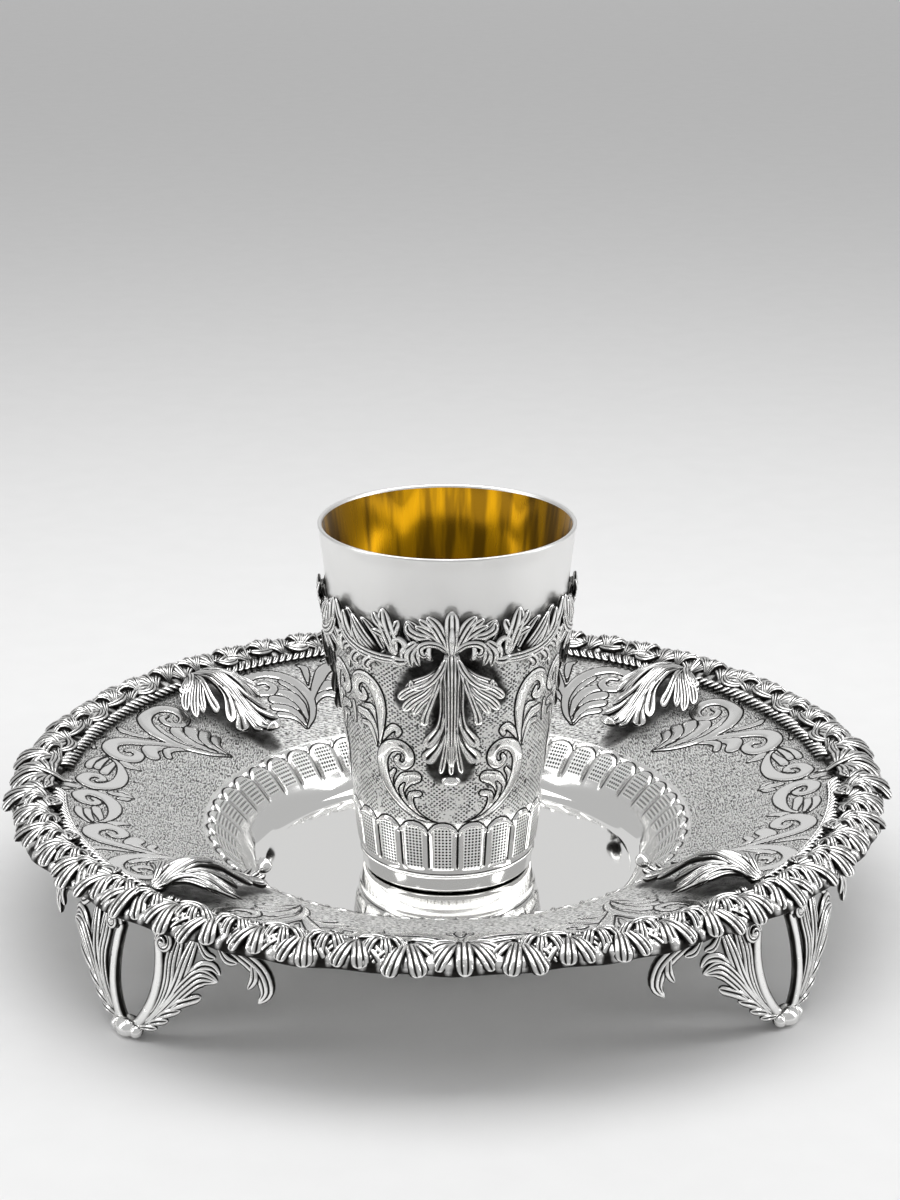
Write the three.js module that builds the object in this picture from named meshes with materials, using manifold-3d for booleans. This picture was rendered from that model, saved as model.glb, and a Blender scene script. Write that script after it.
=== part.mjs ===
// Kiddush cup: a tapered silver beaker with a gilt inside, standing on its own footed silver tray.
// Millimetres, +Z up. The origin is on the table, under the middle of the cup.
import * as THREE from 'three';
import { mergeVertices } from 'three/addons/utils/BufferGeometryUtils.js';
import Module from 'manifold-3d';

const wasm = await Module();
wasm.setup();

// ---- driving dimensions ----------------------------------------------------------------------

const SEAT_GAP = 0.3;              // clearance kept between two pieces that touch
const WELL_HEIGHT = 8;             // top of the tray's flat floor above the table

const CUP_HEIGHT = 85;
const CUP_BASE_RADIUS = 20.1;
const CUP_RIM_RADIUS = 29.8;
const CUP_WALL = 0.9;
const CUP_FLOOR = 1.5;
const CUP_FLUTES = 20;
const CUP_FLUTE_DEPTH = 0.6;
const CUP_FLUTE_LOW = 6.6;
const CUP_FLUTE_HIGH = 17.2;
const CUP_RIDGE_HEIGHT = 4.5;

const GARLAND_LOW = 56;            // lowest leaf tips of the garland, above the cup's base
const GARLAND_HIGH = 73;           // top of its palmettes
const GARLAND_RELIEF = 1.9;
const LEAF_COUNT_CUP = 3;

const LEAF_LENGTH = 32;            // one pattern serves the cup and the tray
const LEAF_HALF_WIDTH = 11.5;
const LEAF_THICKNESS = 0.8;
const CUP_LEAF_TOP = 62.4;         // above the cup's base

const WELL_RADIUS = 44;
const DISH_WALL = 1.0;
const DISH_FLUTES = 48;
const DISH_FLUTE_DEPTH = 0.9;
const FLUTE_INNER = [49.5, 12.6];  // radius and height of the flutes' lower ends
const FLUTE_OUTER = [56.5, 18.8];
const FLANGE_INNER = [57.3, 19.0];
const FLANGE_OUTER = [97.0, 30.2];

const BORDER_INNER_RADIUS = 90;
const BORDER_OUTER_RADIUS = 102.4;
const BORDER_FROND_DEPTH = 3.2;
const BORDER_TOP = 32.8;
const BORDER_LIP = 27.4;

const LEG_COUNT = 4;
const LEG_FIRST_ANGLE = Math.PI / 4;
const FOOT_RADIUS = 101.5;         // distance of each foot from the tray's axis
const RIM_UNDERSIDE = 28.0;        // where the leg castings meet the flange
const TRAY_LEAF_ROOT = 90.6;       // distance of each tray leaf's root from the axis

const CUP_SEGMENTS = CUP_FLUTES * 3;
const DISH_SEGMENTS = DISH_FLUTES * 2;
const GARLAND_SEGMENTS = 72;
const BORDER_SEGMENTS = 96;

// ---- materials -------------------------------------------------------------------------------

function metal(color, roughness) {
  return new THREE.MeshStandardMaterial({ color, roughness, metalness: 1 });
}

const polishedSilver = metal(0xdcdcdc, 0.15);
const castSilver = metal(0xb9b9b9, 0.3);
const engravedSilver = metal(0xcfcfcf, 0.25);

// ---- shared geometry -------------------------------------------------------------------------

// A straight-line interpolation through sorted [place, value] pairs.
function through(pairs, place) {
  const last = pairs.length - 1;
  if (place <= pairs[0][0]) return pairs[0][1];
  if (place >= pairs[last][0]) return pairs[last][1];
  const next = pairs.findIndex((pair) => pair[0] > place);
  const [a, valueA] = pairs[next - 1];
  const [b, valueB] = pairs[next];
  return valueA + (valueB - valueA) * (place - a) / (b - a);
}

// The same with smooth, flat-ended steps between the pairs.
function smoothThrough(pairs, place) {
  const last = pairs.length - 1;
  if (place <= pairs[0][0]) return pairs[0][1];
  if (place >= pairs[last][0]) return pairs[last][1];
  const next = pairs.findIndex((pair) => pair[0] > place);
  const [a, valueA] = pairs[next - 1];
  const [b, valueB] = pairs[next];
  return valueA + (valueB - valueA) * THREE.MathUtils.smoothstep(place, a, b);
}

function signedVolume(points, faces) {
  let sum = 0;
  for (const [a, b, c] of faces) {
    sum += points[a].dot(new THREE.Vector3().crossVectors(points[b], points[c]));
  }
  return sum / 6;
}

// A closed body from points and triangles, turned so that its faces point outwards.
function closedBody(points, faces) {
  const outward = signedVolume(points, faces) > 0;
  const index = faces.flatMap(([a, b, c]) => (outward ? [a, b, c] : [a, c, b]));
  const geometry = new THREE.BufferGeometry();
  geometry.setAttribute('position', new THREE.Float32BufferAttribute(points.flatMap((p) => p.toArray()), 3));
  geometry.setIndex(index);
  return geometry;
}

// A body made by carrying a section round the Z axis. profile(angle) lists [radius, height] points.
// It closes on itself, unless it starts and ends on the axis, where its ring becomes one point.
function turnedBody(segments, profile) {
  const points = [];
  const rings = profile(0).map(([radius], row) => {
    const ring = [];
    const steps = radius === 0 ? 1 : segments;
    for (let step = 0; step < steps; step += 1) {
      const angle = step / segments * 2 * Math.PI;
      const [r, z] = profile(angle)[row];
      ring.push(points.length);
      points.push(new THREE.Vector3(r * Math.cos(angle), r * Math.sin(angle), z));
    }
    return ring;
  });
  const faces = [];
  const onAxis = rings[0].length === 1;
  const bands = onAxis ? rings.length - 1 : rings.length;
  for (let row = 0; row < bands; row += 1) {
    const low = rings[row];
    const high = rings[(row + 1) % rings.length];
    for (let step = 0; step < segments; step += 1) {
      const next = (step + 1) % segments;
      const a = low[step % low.length];
      const b = low[next % low.length];
      const c = high[next % high.length];
      const d = high[step % high.length];
      if (low.length > 1) faces.push([a, b, c]);
      if (high.length > 1) faces.push([a, c, d]);
    }
  }
  return closedBody(points, faces);
}

// A body made by joining equal-sized sections one after another, with flat ends.
function loftedBody(sections) {
  const size = sections[0].length;
  const points = sections.flat();
  const faces = [];
  for (let row = 0; row + 1 < sections.length; row += 1) {
    for (let step = 0; step < size; step += 1) {
      const next = (step + 1) % size;
      const a = row * size + step;
      const b = row * size + next;
      faces.push([a, b, b + size], [a, b + size, a + size]);
    }
  }
  const end = (sections.length - 1) * size;
  for (let step = 1; step + 1 < size; step += 1) {
    faces.push([0, step + 1, step], [end, end + step, end + step + 1]);
  }
  return closedBody(points, faces);
}

function toSolid(geometry) {
  const clean = geometry.clone();
  clean.deleteAttribute('normal');
  clean.deleteAttribute('uv');
  const merged = mergeVertices(clean);
  const mesh = new wasm.Mesh({
    numProp: 3,
    vertProperties: new Float32Array(merged.attributes.position.array),
    triVerts: new Uint32Array(merged.index.array),
  });
  return new wasm.Manifold(mesh);
}

function toGeometry(solid) {
  const mesh = solid.getMesh();
  const geometry = new THREE.BufferGeometry();
  geometry.setAttribute('position', new THREE.BufferAttribute(mesh.vertProperties, 3));
  geometry.setIndex(new THREE.BufferAttribute(mesh.triVerts, 1));
  return geometry;
}

function joined(geometries) {
  return toGeometry(geometries.map(toSolid).reduce((sum, solid) => sum.add(solid)));
}

// ---- the beaker ------------------------------------------------------------------------------

function cupRadius(height) {
  return CUP_BASE_RADIUS + (CUP_RIM_RADIUS - CUP_BASE_RADIUS) * height / CUP_HEIGHT;
}

// How far the wall sinks in the narrow grooves between two flutes.
function grooveDepth(angle, flutes, depth) {
  const turn = angle / (2 * Math.PI) * flutes;
  const off = Math.abs(turn - Math.round(turn));
  return off < 0.1 ? depth : 0;
}

function cupProfile(angle) {
  const groove = grooveDepth(angle, CUP_FLUTES, CUP_FLUTE_DEPTH);
  const outer = (height, proud) => [cupRadius(height) + proud, height];
  const inner = (height) => [cupRadius(height) - CUP_WALL, height];
  const middle = (CUP_FLUTE_LOW + CUP_FLUTE_HIGH) / 2;
  return [
    [0, 0],
    [CUP_BASE_RADIUS - 0.6, 0],
    outer(0.7, 0),
    outer(CUP_RIDGE_HEIGHT - 0.5, 0),
    outer(CUP_RIDGE_HEIGHT, 0.45),
    outer(CUP_RIDGE_HEIGHT + 0.5, 0),
    outer(CUP_FLUTE_LOW, 0.1),
    outer(middle, 0.45 - groove),
    outer(CUP_FLUTE_HIGH, 0.55 - groove),
    outer(CUP_FLUTE_HIGH + 1.2, 0),
    outer(CUP_HEIGHT - 0.7, 0),
    outer(CUP_HEIGHT - 0.35, 0.15),
    [CUP_RIM_RADIUS - CUP_WALL / 2, CUP_HEIGHT],
    inner(CUP_HEIGHT - 0.35),
    inner(CUP_FLOOR + 2.5),
    [CUP_BASE_RADIUS - 3, CUP_FLOOR],
    [0, CUP_FLOOR],
  ];
}

function cupBody() {
  return turnedBody(CUP_SEGMENTS, cupProfile);
}

// ---- the garland -----------------------------------------------------------------------------

// Height of the garland's upper and lower edge at an angle from the nearest palmette, in degrees.
const GARLAND_UPPER_EDGE = [[0, 1], [8, 0.86], [15, 0.66], [22, 0.78], [31, 0.96], [39, 0.62], [50, 0.8], [60, 0.68]];
const GARLAND_LOWER_EDGE = [[0, 0.43], [9, 0.43], [18, 0.22], [30, 0.26], [42, 0.08], [52, 0], [60, 0.12]];

function degreesFromPalmette(angle) {
  const spacing = 360 / LEAF_COUNT_CUP;
  const turned = THREE.MathUtils.radToDeg(angle) + 90;
  return Math.abs(turned - Math.round(turned / spacing) * spacing);
}

function garlandProfile(angle) {
  const off = degreesFromPalmette(angle);
  const span = GARLAND_HIGH - GARLAND_LOW;
  const top = GARLAND_LOW + span * through(GARLAND_UPPER_EDGE, off);
  const low = GARLAND_LOW + span * through(GARLAND_LOWER_EDGE, off);
  const middle = (top + low) / 2;
  return [
    [cupRadius(low) + SEAT_GAP, low],
    [cupRadius(low) + 1.1, low],
    [cupRadius(middle) + GARLAND_RELIEF, middle],
    [cupRadius(top) + 1.3, top],
    [cupRadius(top) + SEAT_GAP, top],
  ];
}

function cupGarland() {
  return turnedBody(GARLAND_SEGMENTS, garlandProfile);
}

// ---- the cast leaf ---------------------------------------------------------------------------

// Half width of the leaf along its length, each as a share: a narrow fluted neck, one broad pair
// of side fans, then two smaller pairs of lobes, and the tip.
const LEAF_OUTLINE = [
  [0, 0.2], [0.14, 0.28], [0.27, 0.5], [0.4, 0.86], [0.5, 1], [0.58, 0.36],
  [0.68, 0.4], [0.77, 0.56], [0.82, 0.34], [0.91, 0.52], [0.97, 0.34], [1, 0.2],
];
const LEAF_COLUMNS = [-1, -0.45, 0, 0.45, 1];

// place(along, across, lift) puts a point of the flat leaf on the surface that the leaf lies over.
function castLeaf(place, spineLift, edgeLift) {
  const sections = LEAF_OUTLINE.map(([share, width]) => {
    const along = share * LEAF_LENGTH;
    const point = (column, drop) => {
      const lift = THREE.MathUtils.lerp(spineLift(share), edgeLift(share), column * column);
      return place(along, column * width * LEAF_HALF_WIDTH, lift - drop);
    };
    const face = LEAF_COLUMNS.map((column) => point(column, 0));
    const back = LEAF_COLUMNS.slice(1, -1).reverse().map((column) => point(column, LEAF_THICKNESS));
    return [...face, ...back];
  });
  return loftedBody(sections);
}

function cupLeaf(angle) {
  const place = (along, across, lift) => {
    const height = CUP_LEAF_TOP - along;
    const radius = cupRadius(height) + lift;
    const turn = angle + across / radius;
    return new THREE.Vector3(radius * Math.cos(turn), radius * Math.sin(turn), height);
  };
  const spine = (share) => smoothThrough([[0, 2.2], [0.35, 3.6], [0.8, 2.7], [0.93, 2.5], [1, 3.4]], share);
  const edge = (share) => smoothThrough([[0, 1.4], [0.5, 1.5], [0.9, 1.4], [1, 2.2]], share);
  return castLeaf(place, spine, edge);
}

// ---- the dish --------------------------------------------------------------------------------

// Height of the flange's upper face at a distance from the axis.
function flangeHeight(radius) {
  const share = (radius - FLANGE_INNER[0]) / (FLANGE_OUTER[0] - FLANGE_INNER[0]);
  const crown = 0.8 * Math.sin(Math.PI * THREE.MathUtils.clamp(share, 0, 1));
  return THREE.MathUtils.lerp(FLANGE_INNER[1], FLANGE_OUTER[1], share) + crown;
}

function dishProfile(angle) {
  const groove = grooveDepth(angle, DISH_FLUTES, DISH_FLUTE_DEPTH);
  const middle = [(FLUTE_INNER[0] + FLUTE_OUTER[0]) / 2 + 0.4, (FLUTE_INNER[1] + FLUTE_OUTER[1]) / 2];
  const flange = (radius, drop) => [radius, flangeHeight(radius) - drop];
  return [
    [0, WELL_HEIGHT],
    [WELL_RADIUS, WELL_HEIGHT],
    [WELL_RADIUS + 3.2, WELL_HEIGHT + 1.6],
    [FLUTE_INNER[0], FLUTE_INNER[1]],
    [middle[0], middle[1] - groove],
    [FLUTE_OUTER[0], FLUTE_OUTER[1] - groove],
    flange(FLANGE_INNER[0] + 0.4, -0.3),
    flange(77, 0),
    flange(FLANGE_OUTER[0], 0),
    flange(FLANGE_OUTER[0], DISH_WALL),
    flange(77, DISH_WALL),
    flange(FLANGE_INNER[0], DISH_WALL + 0.2),
    [FLUTE_INNER[0] + 1, FLUTE_INNER[1] - DISH_WALL - 0.5],
    [WELL_RADIUS + 1, WELL_HEIGHT - DISH_WALL],
    [0, WELL_HEIGHT - DISH_WALL],
  ];
}

function trayDish() {
  return turnedBody(DISH_SEGMENTS, dishProfile);
}

// ---- the border ------------------------------------------------------------------------------

// The border's outer edge: eight fronds to a quarter, the tallest in its middle, a palmette, and
// the broadest over each leg.
function borderReach(angle) {
  const quarter = Math.PI / 2;
  const off = Math.abs(angle - Math.round(angle / quarter) * quarter) / (quarter / 2);
  const fronds = Math.abs(Math.cos(off * 4 * Math.PI));
  const palmette = 1.6 * Math.exp(-((off / 0.14) ** 2));
  const corner = 1.2 * Math.exp(-(((1 - off) / 0.16) ** 2));
  return BORDER_OUTER_RADIUS - BORDER_FROND_DEPTH * (0.5 - fronds) + palmette + corner;
}

function borderProfile(angle) {
  const reach = borderReach(angle);
  const wave = 1.3 * Math.cos(16 * angle);
  const inside = BORDER_INNER_RADIUS + wave;
  const clear = FLANGE_OUTER[0] + SEAT_GAP + 0.1;
  return [
    [inside, flangeHeight(inside) + SEAT_GAP],
    [clear, flangeHeight(FLANGE_OUTER[0]) + SEAT_GAP],
    [clear, BORDER_LIP + 0.4],
    [reach - 1.5, BORDER_LIP],
    [reach, BORDER_LIP + 2],
    [reach - 2.5, BORDER_TOP - 0.8],
    [(inside + clear) / 2 + 2, BORDER_TOP],
    [inside + 0.5, flangeHeight(inside) + 1.9],
  ];
}

function trayBorder() {
  return turnedBody(BORDER_SEGMENTS, borderProfile);
}

function trayLeaf(angle) {
  const place = (along, across, lift) => {
    const radius = TRAY_LEAF_ROOT - along;
    const turn = angle + across / radius;
    const height = flangeHeight(radius) + lift;
    return new THREE.Vector3(radius * Math.cos(turn), radius * Math.sin(turn), height);
  };
  const spine = (share) => smoothThrough([[0, 3.6], [0.35, 8], [0.85, 2.6], [0.93, 2.4], [1, 4.6]], share);
  const edge = (share) => smoothThrough([[0, 2.8], [0.25, 5], [0.5, 1.4], [0.9, 1.4], [1, 3.8]], share);
  return castLeaf(place, spine, edge);
}

// ---- the bracket legs ------------------------------------------------------------------------

// A leg leans outwards as it goes down, from the rim's underside to its foot.
function legReach(height) {
  return THREE.MathUtils.lerp(FOOT_RADIUS - 0.6, 94.6, THREE.MathUtils.clamp(height / RIM_UNDERSIDE, 0, 1));
}

// A point of a leg: across runs along the rim, out is added to the leg's own lean.
function legPoint(angle, across, out, height) {
  const radius = legReach(height) + out;
  const turn = angle + across / legReach(RIM_UNDERSIDE);
  return new THREE.Vector3(radius * Math.cos(turn), radius * Math.sin(turn), height);
}

// The stem that runs from the middle of the leg along the rim's underside and ends in a hanging
// tip: [across, height, half thickness] stations.
const RIM_STEM = [[0, 26, 1.2], [16, 26, 1.5], [26, 25.2, 1.8], [32.4, 22.4, 1.9], [34, 19, 1.4], [33, 16.6, 0.5]];

function legStem(angle, side) {
  const sections = RIM_STEM.map(([across, height, half], row) => {
    const before = RIM_STEM[Math.max(row - 1, 0)];
    const after = RIM_STEM[Math.min(row + 1, RIM_STEM.length - 1)];
    const run = Math.hypot(after[0] - before[0], after[1] - before[1]);
    const turnAcross = (after[1] - before[1]) / run * half;
    const turnUp = -(after[0] - before[0]) / run * half;
    return [
      legPoint(angle, side * (across + turnAcross), 0, height + turnUp),
      legPoint(angle, side * across, half, height),
      legPoint(angle, side * (across - turnAcross), 0, height - turnUp),
      legPoint(angle, side * across, -half, height),
    ];
  });
  return loftedBody(sections);
}

// Half of the openwork: the flat bar beside the loop, and the acanthus wing that grows from it out
// to a fringed lower edge and a curled tip. Each row runs from the loop to the wing's edge.
const WING_ROWS = [
  [[-0.4, 2.2], [2.6, 1.9]], [[3.4, 4.2], [8.2, 5.2]], [[6.2, 8.8], [12.4, 10]],
  [[7, 14], [16.4, 14.6]], [[7, 18.5], [21.2, 18.4]], [[6.6, 22.5], [17.5, 22.4]], [[5.8, 26.8], [14.5, 26.8]],
];
const BAR_WIDTH = 1.8;
const BAR_HALF_DEPTH = 1.8;
const WING_HALF_DEPTH = 0.7;

function legWing(angle, side) {
  const sections = WING_ROWS.map(([inner, outer]) => {
    const at = (share, out) => legPoint(
      angle,
      side * THREE.MathUtils.lerp(inner[0], outer[0], share),
      out,
      THREE.MathUtils.lerp(inner[1], outer[1], share),
    );
    const barShare = Math.min(BAR_WIDTH / (outer[0] - inner[0]), 0.5);
    return [
      at(0, 0.6),
      at(barShare, BAR_HALF_DEPTH),
      at((1 + barShare) / 2, WING_HALF_DEPTH + 0.6),
      at(1, 0),
      at((1 + barShare) / 2, -WING_HALF_DEPTH),
      at(barShare, -BAR_HALF_DEPTH),
    ];
  });
  return loftedBody(sections);
}

function legFoot(angle) {
  const outline = [[0, 0], [2.6, 0], [3.4, 1.1], [3.2, 3], [0, 4.2]];
  const foot = turnedBody(8, () => outline);
  foot.translate(FOOT_RADIUS * Math.cos(angle), FOOT_RADIUS * Math.sin(angle), 0);
  return foot;
}

function trayLeg(angle) {
  const pieces = [legFoot(angle)];
  for (const side of [-1, 1]) {
    pieces.push(legWing(angle, side));
    pieces.push(legStem(angle, side));
  }
  return joined(pieces);
}

// ---- assembly --------------------------------------------------------------------------------

function addPiece(parent, name, geometry, material) {
  const shaded = geometry.toNonIndexed();
  shaded.computeVertexNormals();
  const mesh = new THREE.Mesh(shaded, material);
  mesh.name = name;
  parent.add(mesh);
}

const cup = new THREE.Group();
cup.position.z = WELL_HEIGHT + SEAT_GAP;
addPiece(cup, 'cup_body', cupBody(), polishedSilver);
addPiece(cup, 'cup_garland', cupGarland(), castSilver);
for (let number = 1; number <= LEAF_COUNT_CUP; number += 1) {
  const angle = -Math.PI / 2 + (number - 1) / LEAF_COUNT_CUP * 2 * Math.PI;
  addPiece(cup, `cup_leaf_${number}`, cupLeaf(angle), castSilver);
}

const tray = new THREE.Group();
addPiece(tray, 'tray_dish', trayDish(), engravedSilver);
addPiece(tray, 'tray_border', trayBorder(), castSilver);
for (let number = 1; number <= LEG_COUNT; number += 1) {
  const angle = LEG_FIRST_ANGLE + (number - 1) / LEG_COUNT * 2 * Math.PI;
  addPiece(tray, `tray_leaf_${number}`, trayLeaf(angle), castSilver);
  addPiece(tray, `tray_leg_${number}`, trayLeg(angle), castSilver);
}

const kiddushCup = new THREE.Group();
kiddushCup.add(cup, tray);

export default kiddushCup;
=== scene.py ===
import math

import bpy
import numpy as np
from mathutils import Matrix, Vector


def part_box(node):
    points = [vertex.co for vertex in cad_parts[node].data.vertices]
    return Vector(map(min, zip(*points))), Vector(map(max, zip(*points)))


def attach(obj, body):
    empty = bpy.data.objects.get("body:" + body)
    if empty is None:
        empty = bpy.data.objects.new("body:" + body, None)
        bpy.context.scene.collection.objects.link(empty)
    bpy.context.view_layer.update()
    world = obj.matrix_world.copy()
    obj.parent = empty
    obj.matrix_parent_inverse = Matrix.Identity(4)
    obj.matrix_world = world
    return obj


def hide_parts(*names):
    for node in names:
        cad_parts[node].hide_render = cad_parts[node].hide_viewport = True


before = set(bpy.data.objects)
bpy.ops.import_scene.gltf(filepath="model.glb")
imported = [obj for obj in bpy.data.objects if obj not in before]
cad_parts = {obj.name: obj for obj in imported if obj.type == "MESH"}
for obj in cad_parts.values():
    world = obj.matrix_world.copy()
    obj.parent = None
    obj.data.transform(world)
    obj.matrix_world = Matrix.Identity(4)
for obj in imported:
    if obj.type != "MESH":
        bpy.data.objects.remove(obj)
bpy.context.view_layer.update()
MM = 0.001

# ---------------------------------------------------------------------------------------------
# The dish: one disc of sterling silver, spun to shape. Its well is burnished flat, 48 flutes are
# chased round the well, and the flange is engraved by hand with scrolls on a matted ground.
# ---------------------------------------------------------------------------------------------
PANEL_COLUMNS = 204
DISH_FLUTES = 48
FLUTE_START = 49
FLUTE_ARCH = 57.3
FLANGE_START = 57.4
WELL_EDGE = 43.5
WELL_FLOOR = 8
FAR_OUTSIDE = -4
flange_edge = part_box("tray_dish")[1][0] / MM


def smooth_step(low, high, value):
    """0 below low, 1 above high, and the cubic 3t^2 - 2t^3 between them."""
    t = np.clip((np.asarray(value, float) - low) / (high - low), 0, 1)
    return t * t * (3 - 2 * t)


def curve_through(points, steps):
    """A Catmull-Rom curve through the points: each span blends the cubic of its four neighbours."""
    p = np.asarray(points, float)
    p = np.vstack([2 * p[0] - p[1], p, 2 * p[-1] - p[-2]])
    place = np.linspace(0, len(p) - 3, steps)
    span = np.minimum(place.astype(int), len(p) - 4)
    t = (place - span)[:, None]
    a, b, c, d = p[span], p[span + 1], p[span + 2], p[span + 3]
    return 0.5 * (2 * b + (c - a) * t + (2 * a - 5 * b + 4 * c - d) * t**2
                  + (3 * b - a - 3 * c + d) * t**3)


def dish_height(radius):
    """Height of the dish's upper face: flat well, a cove, the steep flutes, then the flange."""
    stations = [0, WELL_EDGE, 44.6, 46.2, 48, 49.8, 53, 56.5, 57.6, 65, 77, 88, 97]
    heights = [WELL_FLOOR, WELL_FLOOR, 8.15, 8.9, 10.6, 12.7, 16, 18.9, 19.5, 22, 25.5, 28.2, 30.2]
    return np.interp(radius, stations, heights)


def stroke(path, widths, steps=44):
    """An engraver's stroke: a smooth path with its half widths, thinnest where it begins."""
    path = curve_through(path, steps)
    share = np.linspace(0, 1, len(path))
    width = np.interp(share, np.linspace(0, 1, len(widths)), widths)
    return np.column_stack([path, width])


def inside_distance(x, y, strokes):
    """How far each point lies inside the nearest stroke: half width less distance to its path,
    and no less than FAR_OUTSIDE."""
    best = np.full(x.shape, float(FAR_OUTSIDE))
    for path in strokes:
        low = path[:, :2].min(axis=0) + FAR_OUTSIDE
        high = path[:, :2].max(axis=0) - FAR_OUTSIDE
        near = (x > low[0]) & (x < high[0]) & (y > low[1]) & (y < high[1])
        px, py = x[near], y[near]
        depth = best[near]
        for (ax, ay, aw), (bx, by, bw) in zip(path[:-1], path[1:]):
            dx, dy = bx - ax, by - ay
            t = np.clip(((px - ax) * dx + (py - ay) * dy) / (dx * dx + dy * dy + 1e-9), 0, 1)
            gap = np.hypot(px - ax - t * dx, py - ay - t * dy)
            depth = np.maximum(depth, aw + (bw - aw) * t - gap)
        best[near] = depth
    return best


def carved_height(layers, rise=0.34, roll=0.3):
    """Raised scrolls: each layer swells from 0 at its outline to its full rise, and hides those
    below it."""
    height = np.zeros(layers[0].shape)
    for number, inside in enumerate(layers):
        swell = rise * (1 - np.exp(-np.maximum(inside, 0) / roll)) + 0.04 * number
        height = np.where(inside > 0, swell, height)
    return height


def new_piece(name, points, quads, triangles):
    """Puts arrays of points (millimetres), four-sided and three-sided faces into a new object."""
    quads = np.asarray(quads, int).reshape(-1, 4)
    triangles = np.asarray(triangles, int).reshape(-1, 3)
    corners = np.concatenate([quads.ravel(), triangles.ravel()])
    starts = np.concatenate([np.arange(len(quads)) * 4,
                             len(quads) * 4 + np.arange(len(triangles)) * 3])
    mesh = bpy.data.meshes.new(name)
    mesh.vertices.add(len(points))
    mesh.vertices.foreach_set("co", (np.asarray(points, float) * MM).ravel())
    mesh.loops.add(len(corners))
    mesh.loops.foreach_set("vertex_index", corners.astype(np.int32))
    mesh.polygons.add(len(starts))
    mesh.polygons.foreach_set("loop_start", starts.astype(np.int32))
    mesh.polygons.foreach_set("use_smooth", np.full(len(starts), True))
    mesh.update(calc_edges=True)
    piece = bpy.data.objects.new(name, mesh)
    bpy.context.scene.collection.objects.link(piece)
    return piece


def store(piece, name, *values):
    """Keeps one number, or three, for every point of a piece, for its material to read."""
    kind, field = ("FLOAT_VECTOR", "vector") if len(values) == 3 else ("FLOAT", "value")
    kept = piece.data.attributes.new(name, kind, "POINT").data
    kept.foreach_set(field, np.stack(values, axis=1).astype(float).ravel())


def turned_faces(rows, columns):
    """Faces of a grid of rings that close on themselves, facing out when the rings are taken
    from the bottom up and anticlockwise."""
    row, column = np.meshgrid(np.arange(rows - 1), np.arange(columns), indexing="ij")
    following = (column + 1) % columns
    faces = np.stack([row * columns + column, row * columns + following,
                      (row + 1) * columns + following, (row + 1) * columns + column], axis=-1)
    return faces.reshape(-1, 4)


def cap_faces(ring, pole, up):
    """A fan of triangles from a ring of points to its pole, facing up or down."""
    following = np.roll(ring, -1)
    pole = np.full(len(ring), pole)
    order = (ring, following, pole) if up else (following, ring, pole)
    return np.stack(order, axis=-1)


def around(radius, angle, height):
    """Points about the upright axis: radius times cosine and sine of the angle, and height."""
    return np.stack(np.broadcast_arrays(radius * np.cos(angle), radius * np.sin(angle), height),
                    axis=-1)


def closed_skin(rings, first_pole, last_pole):
    """Points and faces of a closed skin: a grid of rings, with a fan to a pole at each end."""
    count, columns = rings.shape[:2]
    points = np.vstack([rings.reshape(-1, 3), [first_pole, last_pole]])
    ring = np.arange(columns)
    triangles = np.vstack([cap_faces(ring, count * columns, False),
                           cap_faces(ring + (count - 1) * columns, count * columns + 1, True)])
    return points, turned_faces(count, columns), triangles


# Scrolls of one half panel: millimetres across from the panel's middle, and out from the axis.
PANEL_SCROLLS = [
    stroke([(34, 53), (32.9, 58), (33.2, 64), (35.4, 69.4), (38.8, 73.2), (43, 75), (47.4, 74.4),
            (50.6, 71.4), (50.6, 67.6), (47.6, 65.2), (44, 66), (43.2, 69), (45.4, 70.8),
            (47.4, 69.6)], [0.3, 0.8, 1.1, 1.5, 1.8, 1.9, 1.9, 1.8, 1.7, 1.5, 1.3, 1.1, 0.9, 0.6],
           90),
    stroke([(33, 64.5), (32.4, 70), (31.3, 75), (30.2, 79), (27.8, 81.8), (24, 82), (21.2, 79.6),
            (21.2, 76.4), (24, 75), (26.2, 76.6), (25.2, 78.2)],
           [0.4, 1.1, 1.6, 1.9, 2.0, 2.0, 1.9, 1.7, 1.4, 1.1, 0.7], 80),
    stroke([(20.2, 82.6), (18, 80), (15, 78.7), (10.5, 78.1), (6.3, 78.9), (3.2, 81.2),
            (2.2, 84.6), (4.4, 86.9), (7.6, 86), (8.5, 83.6), (6.8, 82.3), (5.4, 83.6)],
           [0.2, 0.6, 1.0, 1.6, 1.9, 1.9, 1.8, 1.7, 1.5, 1.2, 1.0, 0.7], 80),
]
PANEL_LOBES_LOW = [
    stroke([(42.6, 63.2), (39.4, 62.6), (36, 59.6), (34, 54.6)], [1.9, 1.9, 1.4, 0.5]),
    stroke([(41, 57), (38.4, 57), (36.2, 55.8), (34.4, 53)], [1.3, 1.2, 0.9, 0.4]),
    stroke([(41.2, 72), (37.6, 69), (35, 64), (33.8, 58)], [1.0, 1.4, 1.3, 0.5]),
    stroke([(25.4, 71.8), (28.6, 72.6), (31.4, 69.6), (32.7, 63.5)], [1.9, 2.1, 1.6, 0.5]),
    stroke([(36.8, 80.8), (35.4, 79.6), (34.6, 76), (34.2, 71.6)], [0.8, 1.1, 0.9, 0.2]),
    stroke([(19.6, 78.8), (17.4, 77), (16.4, 74.2)], [1.3, 1.4, 0.4]),
    stroke([(12.4, 86.2), (14.8, 86), (17.6, 85), (20.4, 82.8)], [1.0, 1.1, 0.8, 0.3]),
    stroke([(10.8, 82.4), (13.4, 81.8), (16.4, 80.8), (19.4, 80.4)], [1.2, 1.2, 0.8, 0.3]),
    stroke([(2.2, 78), (1.6, 76.6), (0.9, 75.4)], [0.6, 1.3, 0.5]),
    stroke([(0, 87.5), (0, 90), (0, 92.4)], [1.0, 1.3, 0.9]),
]
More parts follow.
